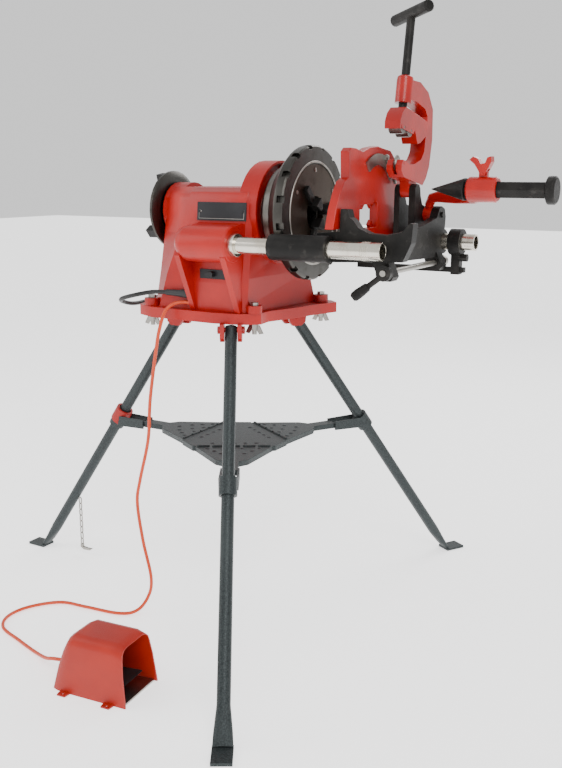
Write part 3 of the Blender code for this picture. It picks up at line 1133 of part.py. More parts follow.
def cords():
    cord("foot_switch_cord", FOOT_CORD_ROUTE, FOOT_CORD_R, 0.020, "orange_cord")
    cord("power_cord", POWER_CORD_ROUTE, POWER_CORD_R, 0.022, "black_cord")
    start = Vector((WEB_FACE - GAP, GLAND_Y, GLAND_Z))
    profile = [(0, 0.0088), (0.020, 0.0088), (0.024, 0.0074), (GLAND_LENGTH + 0.0200, 0.0060)]
    gland = turned("gland", start, (-1, 0, 0), profile, 14)
    node(gland, "power_cord_gland", "black_plastic")
    half, round_r = HANK_LENGTH / 2, 0.013
    outline = []
    for corner_x, corner_z, first in ((half, HANK_HEIGHT, 0), (-half, HANK_HEIGHT, 90), (-half, 0, 180),
        (half, 0, 270)):
        for k in range(4):
            turn = radians(first + 30 * k)
            middle_x = corner_x - round_r if corner_x > 0 else corner_x + round_r
            middle_z = corner_z - round_r if corner_z > 0 else corner_z + round_r
            outline.append((middle_x + round_r * cos(turn), BASE_Z + middle_z + round_r * sin(turn)))
    low = HANK_Y - HANK_WIDTH / 2
    node(slab("hank", outline, "y", low, low + HANK_WIDTH), "power_cord_hank", "black_cord")
    top = BASE_Z + HANK_HEIGHT + GAP
    body = [(-0.028, top), (0.016, top), (0.018, top + 0.004), (0.018, top + 0.022), (-0.010,
        top + 0.024), (-0.028, top + 0.014)]
    plug = slab("plug", body, "y", HANK_Y - 0.012, HANK_Y + 0.012)
    for side in (-1, 1):
        y = HANK_Y + side * 0.0064
        join(plug, box("blade", (0.015, y - 0.0008, top + 0.010), (0.035, y + 0.0008, top + 0.0165)))
    node(plug, "power_plug", "black_plastic")


CHAIN_TOP = (-0.4800, 0.0, 0.1568)
LINK_LENGTH = 0.0190
LINK_WIRE = 0.0012


def chain_link(name, centre, turned_link, long):
    """One stadium-shaped wire link, hanging upright."""
    half, straight = 0.0048, long / 2 - 0.0048
    outer, inner = [], []
    for k in range(5):
        turn = radians(45 * k)
        outer.append((half * cos(turn), straight + half * sin(turn)))
        inner.append(((half - 2 * LINK_WIRE) * cos(turn), straight + (half - 2 * LINK_WIRE) * sin(turn)))
    outer += [(-a, -z) for a, z in outer]
    inner += [(-a, -z) for a, z in inner]
    axis = "x" if turned_link else "y"
    across = 1 if turned_link else 0
    depth = centre[0] if turned_link else centre[1]

    def place(pairs):
        return [(centre[across] + a, centre[2] + z) for a, z in pairs]
    body = slab(name, place(outer), axis, depth - LINK_WIRE, depth + LINK_WIRE)
    return cut(body, slab("hole", place(inner), axis, depth - 0.01, depth + 0.01))


def chain():
    """Short chain that hangs from the rear leg and ends in a hook."""
    x, y, z = CHAIN_TOP
    step = LINK_LENGTH - 2.6 * LINK_WIRE
    body = None
    for k in range(8):
        link = chain_link("link", (x, y, z - LINK_LENGTH / 2 - k * step), k % 2 == 1, LINK_LENGTH)
        body = link if body is None else join(body, link)
    low = z - LINK_LENGTH - 7 * step
    hook = [(x - 0.004, low + 0.003), (x - 0.004, low - 0.006), (x + 0.006, low - 0.011), (x + 0.026,
        low - 0.010)]
    hook += [(x + 0.034, low - 0.004), (x + 0.020, low - 0.005), (x + 0.004, low - 0.004), (x + 0.003,
        low + 0.003)]
    join(body, slab("hook", hook, "y", y - 0.003, y + 0.003))
    node(body, "leg_chain", "machined_steel", (x, y, z - 0.004))


def build():
    clear_scene()
    stand_plate()
    for leg_label, leg_angle in LEG_ANGLES.items():
        leg(leg_label, leg_angle)
    tray()
    hold_downs()
    housing()
    spindle()
    motor()
    hammer_wheel()
    jaws()
    rear_chuck()
    badges_and_switch()
    rails()
    rack()
    carriage()
    carriage_lever()
    die_head()
    pipe_cutter()
    reamer()
    foot_switch()
    cords()
    chain()
    for thing in bpy.data.objects:
        thing.location.x -= CENTRE_X


build()
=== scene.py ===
"""Looks of a pipe threading machine on a folding tripod: finishes, cords and fine shapes.

Metres, +Z up, +X along the spindle from the rear wheel to the chuck. A finished piece takes its
place from the frame, or from the few driving sizes named below, and rides on the body that carries it.
"""
import bpy
import bmesh
import json
from math import atan2, cos, pi, radians, sin
from mathutils import Matrix, Vector


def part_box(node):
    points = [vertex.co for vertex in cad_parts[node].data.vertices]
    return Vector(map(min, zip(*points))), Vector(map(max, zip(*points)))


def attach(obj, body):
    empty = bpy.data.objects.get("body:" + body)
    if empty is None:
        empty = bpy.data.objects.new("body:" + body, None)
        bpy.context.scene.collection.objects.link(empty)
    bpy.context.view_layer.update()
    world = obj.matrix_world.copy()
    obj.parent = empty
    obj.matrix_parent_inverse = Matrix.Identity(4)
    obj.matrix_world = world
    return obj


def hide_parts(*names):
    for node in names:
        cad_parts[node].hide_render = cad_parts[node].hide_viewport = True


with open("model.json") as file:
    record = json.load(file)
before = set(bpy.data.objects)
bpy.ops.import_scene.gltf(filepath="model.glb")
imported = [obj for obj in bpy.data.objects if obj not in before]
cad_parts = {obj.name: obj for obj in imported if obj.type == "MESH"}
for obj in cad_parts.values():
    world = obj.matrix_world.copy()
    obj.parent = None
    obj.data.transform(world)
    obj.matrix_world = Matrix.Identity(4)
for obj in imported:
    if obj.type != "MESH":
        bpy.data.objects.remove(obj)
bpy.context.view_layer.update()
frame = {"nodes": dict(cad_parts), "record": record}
NODES = frame["nodes"]
BODY_OF = {node: body for body, nodes in frame["record"]["behaviour"]["bodies"].items() for node in nodes}


def middle(node):
    low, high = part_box(node)
    return (low + high) / 2


SPINDLE = middle("chuck_body")          # a point on the spindle's axis
AXIS_Y, AXIS_Z = SPINDLE.y, SPINDLE.z


# ---------------------------------------------------------------- camera and light
CAMERA_SPOT = (1.1271, -1.7163, 0.9739)
CAMERA_RIGHT = (0.8589, 0.5122, 0.0)
CAMERA_UP = (-0.1128, 0.1892, 0.9754)
CAMERA_LENS = 44.43
FLOOR_HALF = 14.0
FLOOR_DROP = 0.0006         # the floor lies this far under the feet


def camera():
    """A camera at the operator's front corner, a little above the spindle."""
    right, up = Vector(CAMERA_RIGHT), Vector(CAMERA_UP)
    back = right.cross(up).normalized()
    data = bpy.data.cameras.new("camera")
    data.sensor_fit = "VERTICAL"
    data.sensor_height = 36.0
    data.lens = CAMERA_LENS
    data.clip_end = 60.0
    eye = bpy.data.objects.new("camera", data)
    turn = Matrix((right, up, back)).transposed().to_4x4()
    eye.matrix_world = Matrix.Translation(CAMERA_SPOT) @ turn
    bpy.context.scene.collection.objects.link(eye)
    bpy.context.scene.camera = eye


def area_light(name, spot, target, size, power):
    data = bpy.data.lights.new(name, "AREA")
    data.shape = "SQUARE"
    data.size = size
    data.energy = power
    lamp = bpy.data.objects.new(name, data)
    aim = (Vector(target) - Vector(spot)).to_track_quat("-Z", "Y")
    lamp.matrix_world = Matrix.Translation(spot) @ aim.to_matrix().to_4x4()
    bpy.context.scene.collection.objects.link(lamp)


def studio():
    """Soft white light from all round, with three broad lamps."""
    world = bpy.data.worlds.new("studio")
    world.use_nodes = True
    world.node_tree.nodes["Background"].inputs["Color"].default_value = tint(1.0, 1.0, 1.0)
    world.node_tree.nodes["Background"].inputs["Strength"].default_value = 1.0
    bpy.context.scene.world = world
    area_light("key_light", (1.9, -2.1, 2.9), (0.0, 0.0, 0.7), 1.6, 62)
    area_light("side_light", (-2.3, -1.6, 1.9), (0.0, 0.0, 0.7), 1.8, 28)
    area_light("rim_light", (0.4, 2.6, 2.4), (0.0, 0.0, 0.8), 1.6, 34)


def floor():
    """A plain pale floor."""
    mesh = bpy.data.meshes.new("floor")
    corners = [(-1, -1), (1, -1), (1, 1), (-1, 1)]
    mesh.from_pydata([(FLOOR_HALF * x, FLOOR_HALF * y, -FLOOR_DROP) for x, y in corners], [], [(0, 1, 2, 3)])
    thing = bpy.data.objects.new("floor", mesh)
    bpy.context.scene.collection.objects.link(thing)
    paint = Paint("pale_floor")
    paint.finish(tint(0.97, 0.97, 0.97), 0.75, 0.0)
    paint.shader.inputs["Emission Color"].default_value = tint(1.0, 1.0, 1.0)
    paint.shader.inputs["Emission Strength"].default_value = 1.1
    mesh.materials.append(paint.material)


# ---------------------------------------------------------------- finishes
def tint(red, green, blue):
    return (red, green, blue, 1.0)


class Value:
    """A socket that arithmetic can be written on."""

    def __init__(self, paint, socket):
        self.paint = paint
        self.socket = socket

    def math(self, operation, *others):
        return self.paint.math(operation, self, *others)

    def __add__(self, other):
        return self.math("ADD", other)

    def __radd__(self, other):
        return self.math("ADD", other)

    def __sub__(self, other):
        return self.math("SUBTRACT", other)

    def __rsub__(self, other):
        return self.paint.math("SUBTRACT", other, self)

    def __mul__(self, other):
        return self.math("MULTIPLY", other)

    def __rmul__(self, other):
        return self.math("MULTIPLY", other)

    def __truediv__(self, other):
        return self.math("DIVIDE", other)

    def __pow__(self, other):
        return self.math("POWER", other)


class Paint:
    """A material's node tree, built from short calls."""

    def __init__(self, name):
        self.material = bpy.data.materials.new(name)
        self.material.use_nodes = True
        self.tree = self.material.node_tree
        self.shader = self.tree.nodes["Principled BSDF"]

    def node(self, kind, settings=None, values=None, output=0):
        """A new node with its settings and inputs; what comes back is one of its outputs."""
        made = self.tree.nodes.new(kind)
        for key, value in (settings or {}).items():
            setattr(made, key, value)
        for key, value in (values or {}).items():
            socket = made.inputs[key]
            if isinstance(value, Value):
                self.tree.links.new(value.socket, socket)
            else:
                socket.default_value = value
        return Value(self, made.outputs[output])

    def math(self, operation, *terms):
        return self.node("ShaderNodeMath", {"operation": operation}, dict(enumerate(terms)))

    def place(self):
        return self.node("ShaderNodeTexCoord", output=3)

    def axes(self):
        made = self.tree.nodes.new("ShaderNodeSeparateXYZ")
        self.tree.links.new(self.place().socket, made.inputs[0])
        return [Value(self, socket) for socket in made.outputs]

    def stretched(self, scale):
        return self.node("ShaderNodeMapping", None, {"Vector": self.place(), "Scale": scale})

    def noise(self, scale, detail=3.0, roughness=0.55, vector=None):
        return self.node("ShaderNodeTexNoise", None, {
            "Vector": vector or self.place(), "Scale": scale, "Detail": detail, "Roughness": roughness})

    def cells(self, scale):
        return self.node("ShaderNodeTexVoronoi", None, {"Vector": self.place(), "Scale": scale})

    def step(self, value, low, high):
        return self.node("ShaderNodeMapRange", {"interpolation_type": "SMOOTHSTEP"}, {
            "Value": value, "From Min": low, "From Max": high})

    def mix(self, factor, first, second):
        colours = {"Factor": factor, 6: first, 7: second}
        return self.node("ShaderNodeMix", {"data_type": "RGBA"}, colours, output=2)

    def bump(self, height, strength, distance, under=None):
        values = {"Height": height, "Strength": strength, "Distance": distance}
        if under is not None:
            values["Normal"] = under
        return self.node("ShaderNodeBump", None, values)

    def finish(self, colour, roughness, metallic, normal=None, coat=0.0):
        for key, value in (("Base Color", colour), ("Roughness", roughness), ("Metallic", metallic)):
            socket = self.shader.inputs[key]
            if isinstance(value, Value):
                self.tree.links.new(value.socket, socket)
            else:
                socket.default_value = value
        if normal is not None:
            self.tree.links.new(normal.socket, self.shader.inputs["Normal"])
        self.shader.inputs["Coat Weight"].default_value = coat
        self.shader.inputs["Specular IOR Level"].default_value = 0.32
        self.shader.inputs["Coat Roughness"].default_value = 0.12
        return self.material


def enamel(name, bright, deep, grain, gloss, coat):
    """Thick paint over a sand casting: orange peel, soft mottling and dust in the hollows."""
    paint = Paint(name)
    mottle = paint.noise(9.0, 4.0)
    dust = paint.step(paint.noise(38.0, 5.0, 0.65), 0.58, 0.78)
    colour = paint.mix(paint.step(mottle, 0.35, 0.68), deep, bright)
    colour = paint.mix(dust * 0.10, colour, tint(0.24, 0.055, 0.035))
    peel = paint.noise(grain, 2.0)
    pits = paint.noise(grain * 3.1, 3.0)
    normal = paint.bump(pits, 0.10, 0.0006, paint.bump(peel, 0.22, 0.0012))
    return paint.finish(colour, gloss + 0.16 * mottle + 0.10 * dust, 0.0, normal, coat)


def hammered():
    """Grey-green hammered paint: shallow cells with darker rims."""
    paint = Paint("hammered_grey_paint")
    cell = paint.cells(330.0)
    rim = paint.step(cell, 0.25, 0.75)
    cloud = paint.noise(6.0, 3.0)
    colour = paint.mix(rim, tint(0.036, 0.044, 0.045), tint(0.021, 0.026, 0.027))
    colour = paint.mix(paint.step(cloud, 0.4, 0.7) * 0.35, colour, tint(0.050, 0.060, 0.060))
    normal = paint.bump(paint.noise(900.0, 2.0), 0.08, 0.0003, paint.bump(rim, 0.35, 0.0006))
    return paint.finish(colour, 0.34 + 0.18 * cloud, 0.45, normal)


def casting(name, light, dark, grain=420.0, shine=0.42):
    """Oiled dark casting: coarse skin, thin brown bloom and brighter rubbed patches."""
    paint = Paint(name)
    cloud = paint.noise(14.0, 5.0, 0.6)
    rubbed = paint.step(paint.noise(55.0, 4.0, 0.6), 0.56, 0.72)
    colour = paint.mix(paint.step(cloud, 0.38, 0.66), dark, light)
    colour = paint.mix(rubbed * 0.20, colour, tint(0.085, 0.078, 0.070))
    normal = paint.bump(paint.noise(grain, 4.0, 0.6), 0.32, 0.0009)
    return paint.finish(colour, shine + 0.18 * cloud - 0.10 * rubbed, 0.55, normal)


def turned_steel(name, tone, shine=0.26, ring_pitch=0.00085):
    """Steel faced on a lathe: fine rings about the spindle and a film of old oil."""
    paint = Paint(name)
    x, y, z = paint.axes()
    dy, dz = y - AXIS_Y, z - AXIS_Z
    radius = (dy * dy + dz * dz) ** 0.5
    rings = ((radius + x * 0.7) * (2 * pi / ring_pitch)).math("SINE")
    cloud = paint.noise(16.0, 5.0, 0.62)
    stain = paint.step(paint.noise(31.0, 4.0), 0.50, 0.70)
    colour = paint.mix(stain * 0.45, tone, (tone[0] * 0.55, tone[1] * 0.50, tone[2] * 0.42, 1.0))
    normal = paint.bump(rings, 0.10, 0.00018, paint.bump(cloud, 0.10, 0.0010))
    return paint.finish(colour, shine + 0.20 * cloud + 0.10 * stain, 1.0, normal)


def bright_pipe():
    """Nickelled pipe: bright, with fine turning marks along its length and warm stains."""
    paint = Paint("nickelled_pipe")
    x, _, _ = paint.axes()
    marks = paint.noise(1.0, 3.0, 0.6, paint.stretched((2600.0, 30.0, 30.0)))
    cloud = paint.noise(22.0, 4.0)
    stain = paint.step(cloud, 0.46, 0.68)
    colour = paint.mix(stain * 0.55, tint(0.66, 0.62, 0.54), tint(0.36, 0.31, 0.24))
    normal = paint.bump(marks, 0.14, 0.0002)
    return paint.finish(colour, 0.15 + 0.12 * marks + 0.10 * stain, 1.0, normal)


def plain_steel():
    paint = Paint("small_parts_steel")
    cloud = paint.noise(60.0, 4.0)
    colour = paint.mix(cloud, tint(0.42, 0.40, 0.37), tint(0.20, 0.19, 0.17))
    return paint.finish(colour, 0.24 + 0.2 * cloud, 1.0, paint.bump(paint.noise(500.0), 0.12, 0.0003))


def moulded(name, tone, shine=0.42):
    """Moulded rubber or plastic with a fine sparked skin."""
    paint = Paint(name)
    cloud = paint.noise(18.0, 3.0)
    worn = tint(*(1.8 * part + 0.004 for part in tone[:3]))
    colour = paint.mix(paint.step(cloud, 0.4, 0.7) * 0.5, tone, worn)
    skin = paint.bump(paint.noise(1400.0, 2.0), 0.16, 0.0003)
    return paint.finish(colour, shine + 0.15 * cloud, 0.0, skin)


def sheath(name, tone, worn):
    """A cord's sheath: a soft sheen, scuffs and a faint lay of the cores under the skin."""
    paint = Paint(name)
    scuff = paint.step(paint.noise(90.0, 4.0), 0.52, 0.70)
    colour = paint.mix(scuff * 0.35, tone, worn)
    return paint.finish(colour, 0.36 + 0.22 * scuff, 0.0, paint.bump(paint.noise(260.0, 3.0), 0.18, 0.0005))


FINISH = {}


def make_finishes():
    """Every finish by the short name that the pieces use."""
    FINISH["red"] = enamel(
        "red_enamel_on_casting", tint(0.40, 0.0055, 0.0022), tint(0.30, 0.0038, 0.0018), 330.0, 0.32, 0.10)
    FINISH["forged_red"] = enamel(
        "red_enamel_on_forging", tint(0.40, 0.0058, 0.0022), tint(0.26, 0.0036, 0.0016), 240.0, 0.26, 0.22)
    FINISH["shell"] = enamel(
        "orange_red_shell_paint", tint(0.38, 0.0150, 0.0050), tint(0.31, 0.0110, 0.0040), 620.0, 0.36, 0.05)
    FINISH["clamp"] = enamel(
        "red_enamel_on_clamp", tint(0.36, 0.014, 0.009), tint(0.26, 0.010, 0.007), 420.0, 0.36, 0.0)
    FINISH["grey"] = hammered()
    FINISH["casting"] = casting("dark_oiled_casting", tint(0.020, 0.0185, 0.017), tint(0.009, 0.0085, 0.008))
    FINISH["jaw"] = casting(
        "blackened_tool_steel", tint(0.020, 0.019, 0.018), tint(0.008, 0.0078, 0.0075), 700.0, 0.34)
    FINISH["turned"] = turned_steel("turned_steel", tint(0.17, 0.162, 0.150), 0.20)
    FINISH["wheel"] = turned_steel("oiled_wheel_steel", tint(0.062, 0.059, 0.054), 0.22)
    # painted highlight: the rim bead gets the wheel's turned steel about six times lighter, standing for the
    # bright light on its rounded edge
    FINISH["wheel_rim_highlight"] = turned_steel("painted_highlight_rim_steel", tint(0.36, 0.345, 0.315), 0.28)
    FINISH["browned"] = turned_steel("browned_face_steel", tint(0.060, 0.045, 0.033), 0.34)
    FINISH["pipe"] = bright_pipe()
    FINISH["steel"] = plain_steel()
    FINISH["black"] = moulded("black_moulding", tint(0.012, 0.012, 0.013))
    FINISH["plate"] = moulded("black_name_plate_enamel", tint(0.010, 0.010, 0.012), 0.26)
    FINISH["orange_cord"] = sheath("orange_cord_sheath", tint(0.56, 0.055, 0.014), tint(0.40, 0.040, 0.014))
    FINISH["black_cord"] = sheath("black_cord_sheath", tint(0.014, 0.014, 0.014), tint(0.050, 0.048, 0.046))


# ---------------------------------------------------------------- mesh helpers
def made_mesh(name, shape, finish, smooth=38.0):
    """A finished object from a bmesh."""
    mesh = bpy.data.meshes.new(name)
    shape.to_mesh(mesh)
    shape.free()
    mesh.materials.append(FINISH[finish])
    mesh.shade_smooth()
    mesh.set_sharp_from_angle(angle=radians(smooth))
    thing = bpy.data.objects.new(name, mesh)
    bpy.context.scene.collection.objects.link(thing)
    return thing


def settle(thing):
    """A piece's modifiers, applied to its mesh."""
    graph = bpy.context.evaluated_depsgraph_get()
    mesh = bpy.data.meshes.new_from_object(thing.evaluated_get(graph))
    thing.modifiers.clear()
    thing.data = mesh
    return thing


def outwards(shape):
    """A closed skin with its faces turned outwards."""
    bmesh.ops.remove_doubles(shape, verts=shape.verts, dist=0.00001)
    bmesh.ops.recalc_face_normals(shape, faces=shape.faces)
    return shape


def rings_mesh(rings, close=False):
    """A skin over equal rings. Open ends are capped; a closed loop of rings has none."""
    shape = bmesh.new()
    rows = [[shape.verts.new(p) for p in ring] for ring in rings]
    count = len(rows[0])
    pairs = list(zip(rows, rows[1:]))
    if close:
        pairs.append((rows[-1], rows[0]))
    for a, b in pairs:
        for k in range(count):
            shape.faces.new((a[k], a[(k + 1) % count], b[(k + 1) % count], b[k]))
    if not close:
        shape.faces.new(reversed(rows[0]))
        shape.faces.new(rows[-1])
    return outwards(shape)


def circle(sides):
    return (2 * pi * k / sides for k in range(sides))


def round_ring(centre, axis, radius, sides):
    """A ring of points about an axis."""
    axis = Vector(axis).normalized()
    side = axis.cross(Vector((0, 0, 1)))
    side = side.normalized() if side.length > 0.1 else Vector((1, 0, 0))
    other = axis.cross(side)
    return [Vector(centre) + radius * (cos(t) * side + sin(t) * other) for t in circle(sides)]


def lathe(name, start, axis, profile, finish, sides=64, hollow=False, smooth=32.0):
    """A turned piece. A hollow one's profile runs round its wall and closes on itself."""
    start, axis = Vector(start), Vector(axis).normalized()
    rings = [round_ring(start + axis * s, axis, r, sides) for s, r in profile]
    return made_mesh(name, rings_mesh(rings, hollow), finish, smooth)


def dress(node, finish, edge=0.0015, segments=2, smooth=40.0):
    """A copy of a CAD node with its edges rounded and its round faces smooth."""
    shape = bmesh.new()
    shape.from_mesh(NODES[node].data)
    bmesh.ops.remove_doubles(shape, verts=shape.verts, dist=0.00002)
    bmesh.ops.dissolve_limit(shape, angle_limit=radians(1.0), verts=shape.verts, edges=shape.edges)
    thing = made_mesh(node + "_finished", shape, finish, smooth)
    if edge:
        rounding = thing.modifiers.new("edges", "BEVEL")
        rounding.width = edge
        rounding.segments = segments
        rounding.limit_method = "ANGLE"
        rounding.angle_limit = radians(34)
        rounding.use_clamp_overlap = True
        even = thing.modifiers.new("even_shading", "WEIGHTED_NORMAL")
        even.keep_sharp = True
        even.weight = 80
        settle(thing)
    return stand_for(thing, node)


def stand_for(thing, *nodes):
    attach(thing, BODY_OF[nodes[0]])
    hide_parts(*nodes)
    return thing


def add_on(thing, node):
    """A detail that goes with a node without replacing it."""
    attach(thing, BODY_OF[node])
    return thing


# ---------------------------------------------------------------- cords
FOOT_CORD_ROUTE = [
    (-0.0247, -0.1290, 0.7045), (-0.0420, -0.1295, 0.7045), (-0.0580, -0.1430, 0.7010),
    (-0.0680, -0.1585, 0.6860), (-0.0760, -0.1680, 0.6500), (-0.085, -0.170, 0.6055),
    (-0.105, -0.170, 0.495), (-0.114, -0.170, 0.405), (-0.140, -0.170, 0.310),
    (-0.150, -0.170, 0.255), (-0.138, -0.170, 0.170), (-0.118, -0.170, 0.085),
    (-0.126, -0.172, 0.038), (-0.141, -0.196, 0.0095), (-0.175, -0.2200, 0.0045),
    (-0.261, -0.233, 0.0045), (-0.3250, -0.2450, 0.0045), (-0.369, -0.2980, 0.0045),
    (-0.3765, -0.3550, 0.0045), (-0.345, -0.4000, 0.0045), (-0.273, -0.4240, 0.0045),
    (-0.205, -0.4460, 0.0070), (-0.155, -0.4660, 0.0170), (-0.125, -0.4735, 0.0270),
    (-0.098, -0.4710, 0.0300), (-0.074, -0.4685, 0.0300),
]
POWER_CORD_ROUTE = [
    (-0.0855, -0.1305, 0.7230), (-0.120, -0.1360, 0.7215), (-0.160, -0.1500, 0.7130),
    (-0.195, -0.1450, 0.7030), (-0.212, -0.120, 0.6930), (-0.216, -0.080, 0.6840),
    (-0.218, -0.030, 0.6840), (-0.216, 0.030, 0.6920), (-0.206, 0.080, 0.7020),
    (-0.186, 0.112, 0.7040),
]
FOOT_CORD_RADIUS = 0.0037
POWER_CORD_RADIUS = 0.0046
HANK_INSET = 0.006          # from the hank's flat ends to the turns of its runs
HANK_ROWS, HANK_LEVELS = 3, 4
LAYOUT_SHIFT = Vector((-0.0154, 0.0, 0.0))      # the layout's origin is under the tripod's middle


def smooth_route(points, spacing):
    """Points read at even spacing from a smooth curve through the route."""
    ends = [2 * Vector(points[0]) - Vector(points[1])] + [Vector(p) for p in points]
    ends.append(2 * Vector(points[-1]) - Vector(points[-2]))
    fine = []
    for k in range(1, len(ends) - 2):
        a, b, c, d = ends[k - 1:k + 3]
        for step in range(20):
            t = step / 20
            bend = (2 * a - 5 * b + 4 * c - d) * t * t
            twist = (3 * b - a - 3 * c + d) * t ** 3
            fine.append(0.5 * (2 * b + (c - a) * t + bend + twist))
    fine.append(Vector(points[-1]))
    total = sum((q - p).length for p, q in zip(fine, fine[1:]))
    count = max(2, round(total / spacing))
    even, travelled, k = [fine[0]], 0.0, 0
    for step in range(1, count):
        wanted = total * step / count
        while travelled + (fine[k + 1] - fine[k]).length < wanted:
            travelled += (fine[k + 1] - fine[k]).length
            k += 1
        share = (wanted - travelled) / (fine[k + 1] - fine[k]).length
        even.append(fine[k].lerp(fine[k + 1], share))
    return even + [fine[-1]], total


def tube_along(name, points, radius, finish, sides=16):
    """A tube that follows points without twisting."""
    rings = []
    side = None
    for k, spot in enumerate(points):
        along = (points[min(k + 1, len(points) - 1)] - points[max(k - 1, 0)]).normalized()
        if side is None:
            side = along.orthogonal().normalized()
        side = (side - along * side.dot(along)).normalized()
        other = along.cross(side)
        rings.append([spot + radius * (cos(t) * side + sin(t) * other) for t in circle(sides)])
    return made_mesh(name, rings_mesh(rings), finish)


def foot_cord():
    points, total = smooth_route([Vector(p) + LAYOUT_SHIFT for p in FOOT_CORD_ROUTE], 0.006)
    radius = FOOT_CORD_RADIUS
    cord = tube_along("foot_switch_lead", points, radius, "orange_cord", 18)
    stand_for(cord, "foot_switch_cord")


def hank_path(radius):
    """The spare cord's runs, folded back and forth into a hank three wide and four high."""
    low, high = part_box("power_cord_hank")
    across = (high.y - low.y - 2 * radius) / (HANK_ROWS - 1)
    up = (high.z - low.z - 2 * radius) / (HANK_LEVELS - 1)
    left, right = low.x + HANK_INSET + radius, high.x - HANK_INSET - radius
    spots = []
    for level in range(HANK_LEVELS):
        rows = range(HANK_ROWS) if level % 2 == 0 else reversed(range(HANK_ROWS))
        spots += [(low.y + radius + row * across, low.z + radius + level * up) for row in rows]
    points = []
    for k, (y, z) in enumerate(spots):
        ends = (left, right) if k % 2 == 0 else (right, left)
        points += [Vector((ends[0] + (ends[1] - ends[0]) * j / 30, y, z)) for j in range(31)]
        if k + 1 < len(spots):
            start, stop = Vector((ends[1], y, z)), Vector((ends[1], *spots[k + 1]))
            centre, arm = (start + stop) / 2, (start - stop) / 2
            bulge = Vector((1 if k % 2 == 0 else -1, 0, 0)) * arm.length
            points += [centre + arm * cos(t) + bulge * sin(t) for t in (pi * j / 8 for j in range(1, 8))]
    return points


def power_cord():
    """The supply cord: from its gland round the rear of the stand, through its hank, to the plug."""
    radius = POWER_CORD_RADIUS
    hank = hank_path(radius)
    start, stop = hank[0], hank[-1]
    route = [Vector(p) + LAYOUT_SHIFT for p in POWER_CORD_ROUTE]
    route += [Vector((-0.171, 0.1290, 0.6990)), Vector((-0.142, start.y, start.z + 0.0012))]
    route += [Vector((start.x - 0.018, start.y, start.z)), Vector((start.x - 0.004, start.y, start.z))]
    lead, _ = smooth_route(route, 0.005)
    plug_low, plug_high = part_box("power_plug")
    back = Vector((plug_low.x, (plug_low.y + plug_high.y) / 2, (plug_low.z + plug_high.z) / 2))
    tail = [stop + Vector((-0.004, 0.0, 0.0006)), stop + Vector((-0.0115, 0.0025, 0.0070))]
    tail += [stop + Vector((-0.0085, 0.0068, 0.0140)), back + Vector((-0.036, 0.0, 0.0008))]
    tail += [back + Vector((-0.018, 0.0, 0.0)), back + Vector((-0.0004, 0.0, 0.0))]
    rise, _ = smooth_route(tail, 0.004)
    points = lead + hank + rise
    total = sum((q - p).length for p, q in zip(points, points[1:]))
    cord = tube_along("supply_cord", points, radius, "black_cord", 14)
    plug = dress("power_plug", "black", 0.0012)
    stand_for(cord, "power_cord", "power_cord_hank")


# ---------------------------------------------------------------- repeated pieces
def repeat_tree():
    """A node tree that sets one piece at each of a mesh's points."""
    tree = bpy.data.node_groups.new("piece_at_each_spot", "GeometryNodeTree")
    face = tree.interface
    face.new_socket("Spots", in_out="INPUT", socket_type="NodeSocketGeometry")
    face.new_socket("Piece", in_out="INPUT", socket_type="NodeSocketObject")
    face.new_socket("Size", in_out="INPUT", socket_type="NodeSocketFloat").default_value = 1.0
    face.new_socket("Unevenness", in_out="INPUT", socket_type="NodeSocketFloat")
    face.new_socket("Finish", in_out="INPUT", socket_type="NodeSocketMaterial")
    face.new_socket("Pieces", in_out="OUTPUT", socket_type="NodeSocketGeometry")
    given = tree.nodes.new("NodeGroupInput")
    result = tree.nodes.new("NodeGroupOutput")
    points = tree.nodes.new("GeometryNodeMeshToPoints")
    piece = tree.nodes.new("GeometryNodeObjectInfo")
    chance = tree.nodes.new("FunctionNodeRandomValue")
    chance.inputs["Seed"].default_value = 7
    least = tree.nodes.new("ShaderNodeMath")
    least.operation = "SUBTRACT"
    copies = tree.nodes.new("GeometryNodeInstanceOnPoints")
    solid = tree.nodes.new("GeometryNodeRealizeInstances")
    paint = tree.nodes.new("GeometryNodeSetMaterial")
    link = tree.links.new
    link(given.outputs["Spots"], points.inputs["Mesh"])
    link(given.outputs["Piece"], piece.inputs["Object"])
    link(given.outputs["Size"], least.inputs[0])
    link(given.outputs["Unevenness"], least.inputs[1])
    link(least.outputs[0], chance.inputs[2])
    link(given.outputs["Size"], chance.inputs[3])
    link(points.outputs["Points"], copies.inputs["Points"])
    link(piece.outputs["Geometry"], copies.inputs["Instance"])
    link(chance.outputs[1], copies.inputs["Scale"])
    link(copies.outputs["Instances"], solid.inputs["Geometry"])
    link(solid.outputs["Geometry"], paint.inputs["Geometry"])
    link(given.outputs["Finish"], paint.inputs["Material"])
    link(paint.outputs["Geometry"], result.inputs["Pieces"])
    return tree


def repeated(name, node, tree, piece, spots, finish_name, unevenness=0.0):
    """One mesh holding the piece at every spot, going with a node's body."""
    mesh = bpy.data.meshes.new(name)
    mesh.from_pydata([tuple(p) for p in spots], [], [])
    thing = bpy.data.objects.new(name, mesh)
    bpy.context.scene.collection.objects.link(thing)
    step = thing.modifiers.new("repeat", "NODES")
    step.node_group = tree
    settings = {"Piece": piece, "Size": 1.0, "Unevenness": unevenness, "Finish": FINISH[finish_name]}
    for item in tree.interface.items_tree:
        if item.in_out == "INPUT" and item.name in settings:
            step[item.identifier] = settings[item.name]
    return add_on(settle(thing), node)


def drop(piece):
    """Take away a pattern piece once its copies are made."""
    bpy.data.objects.remove(piece)


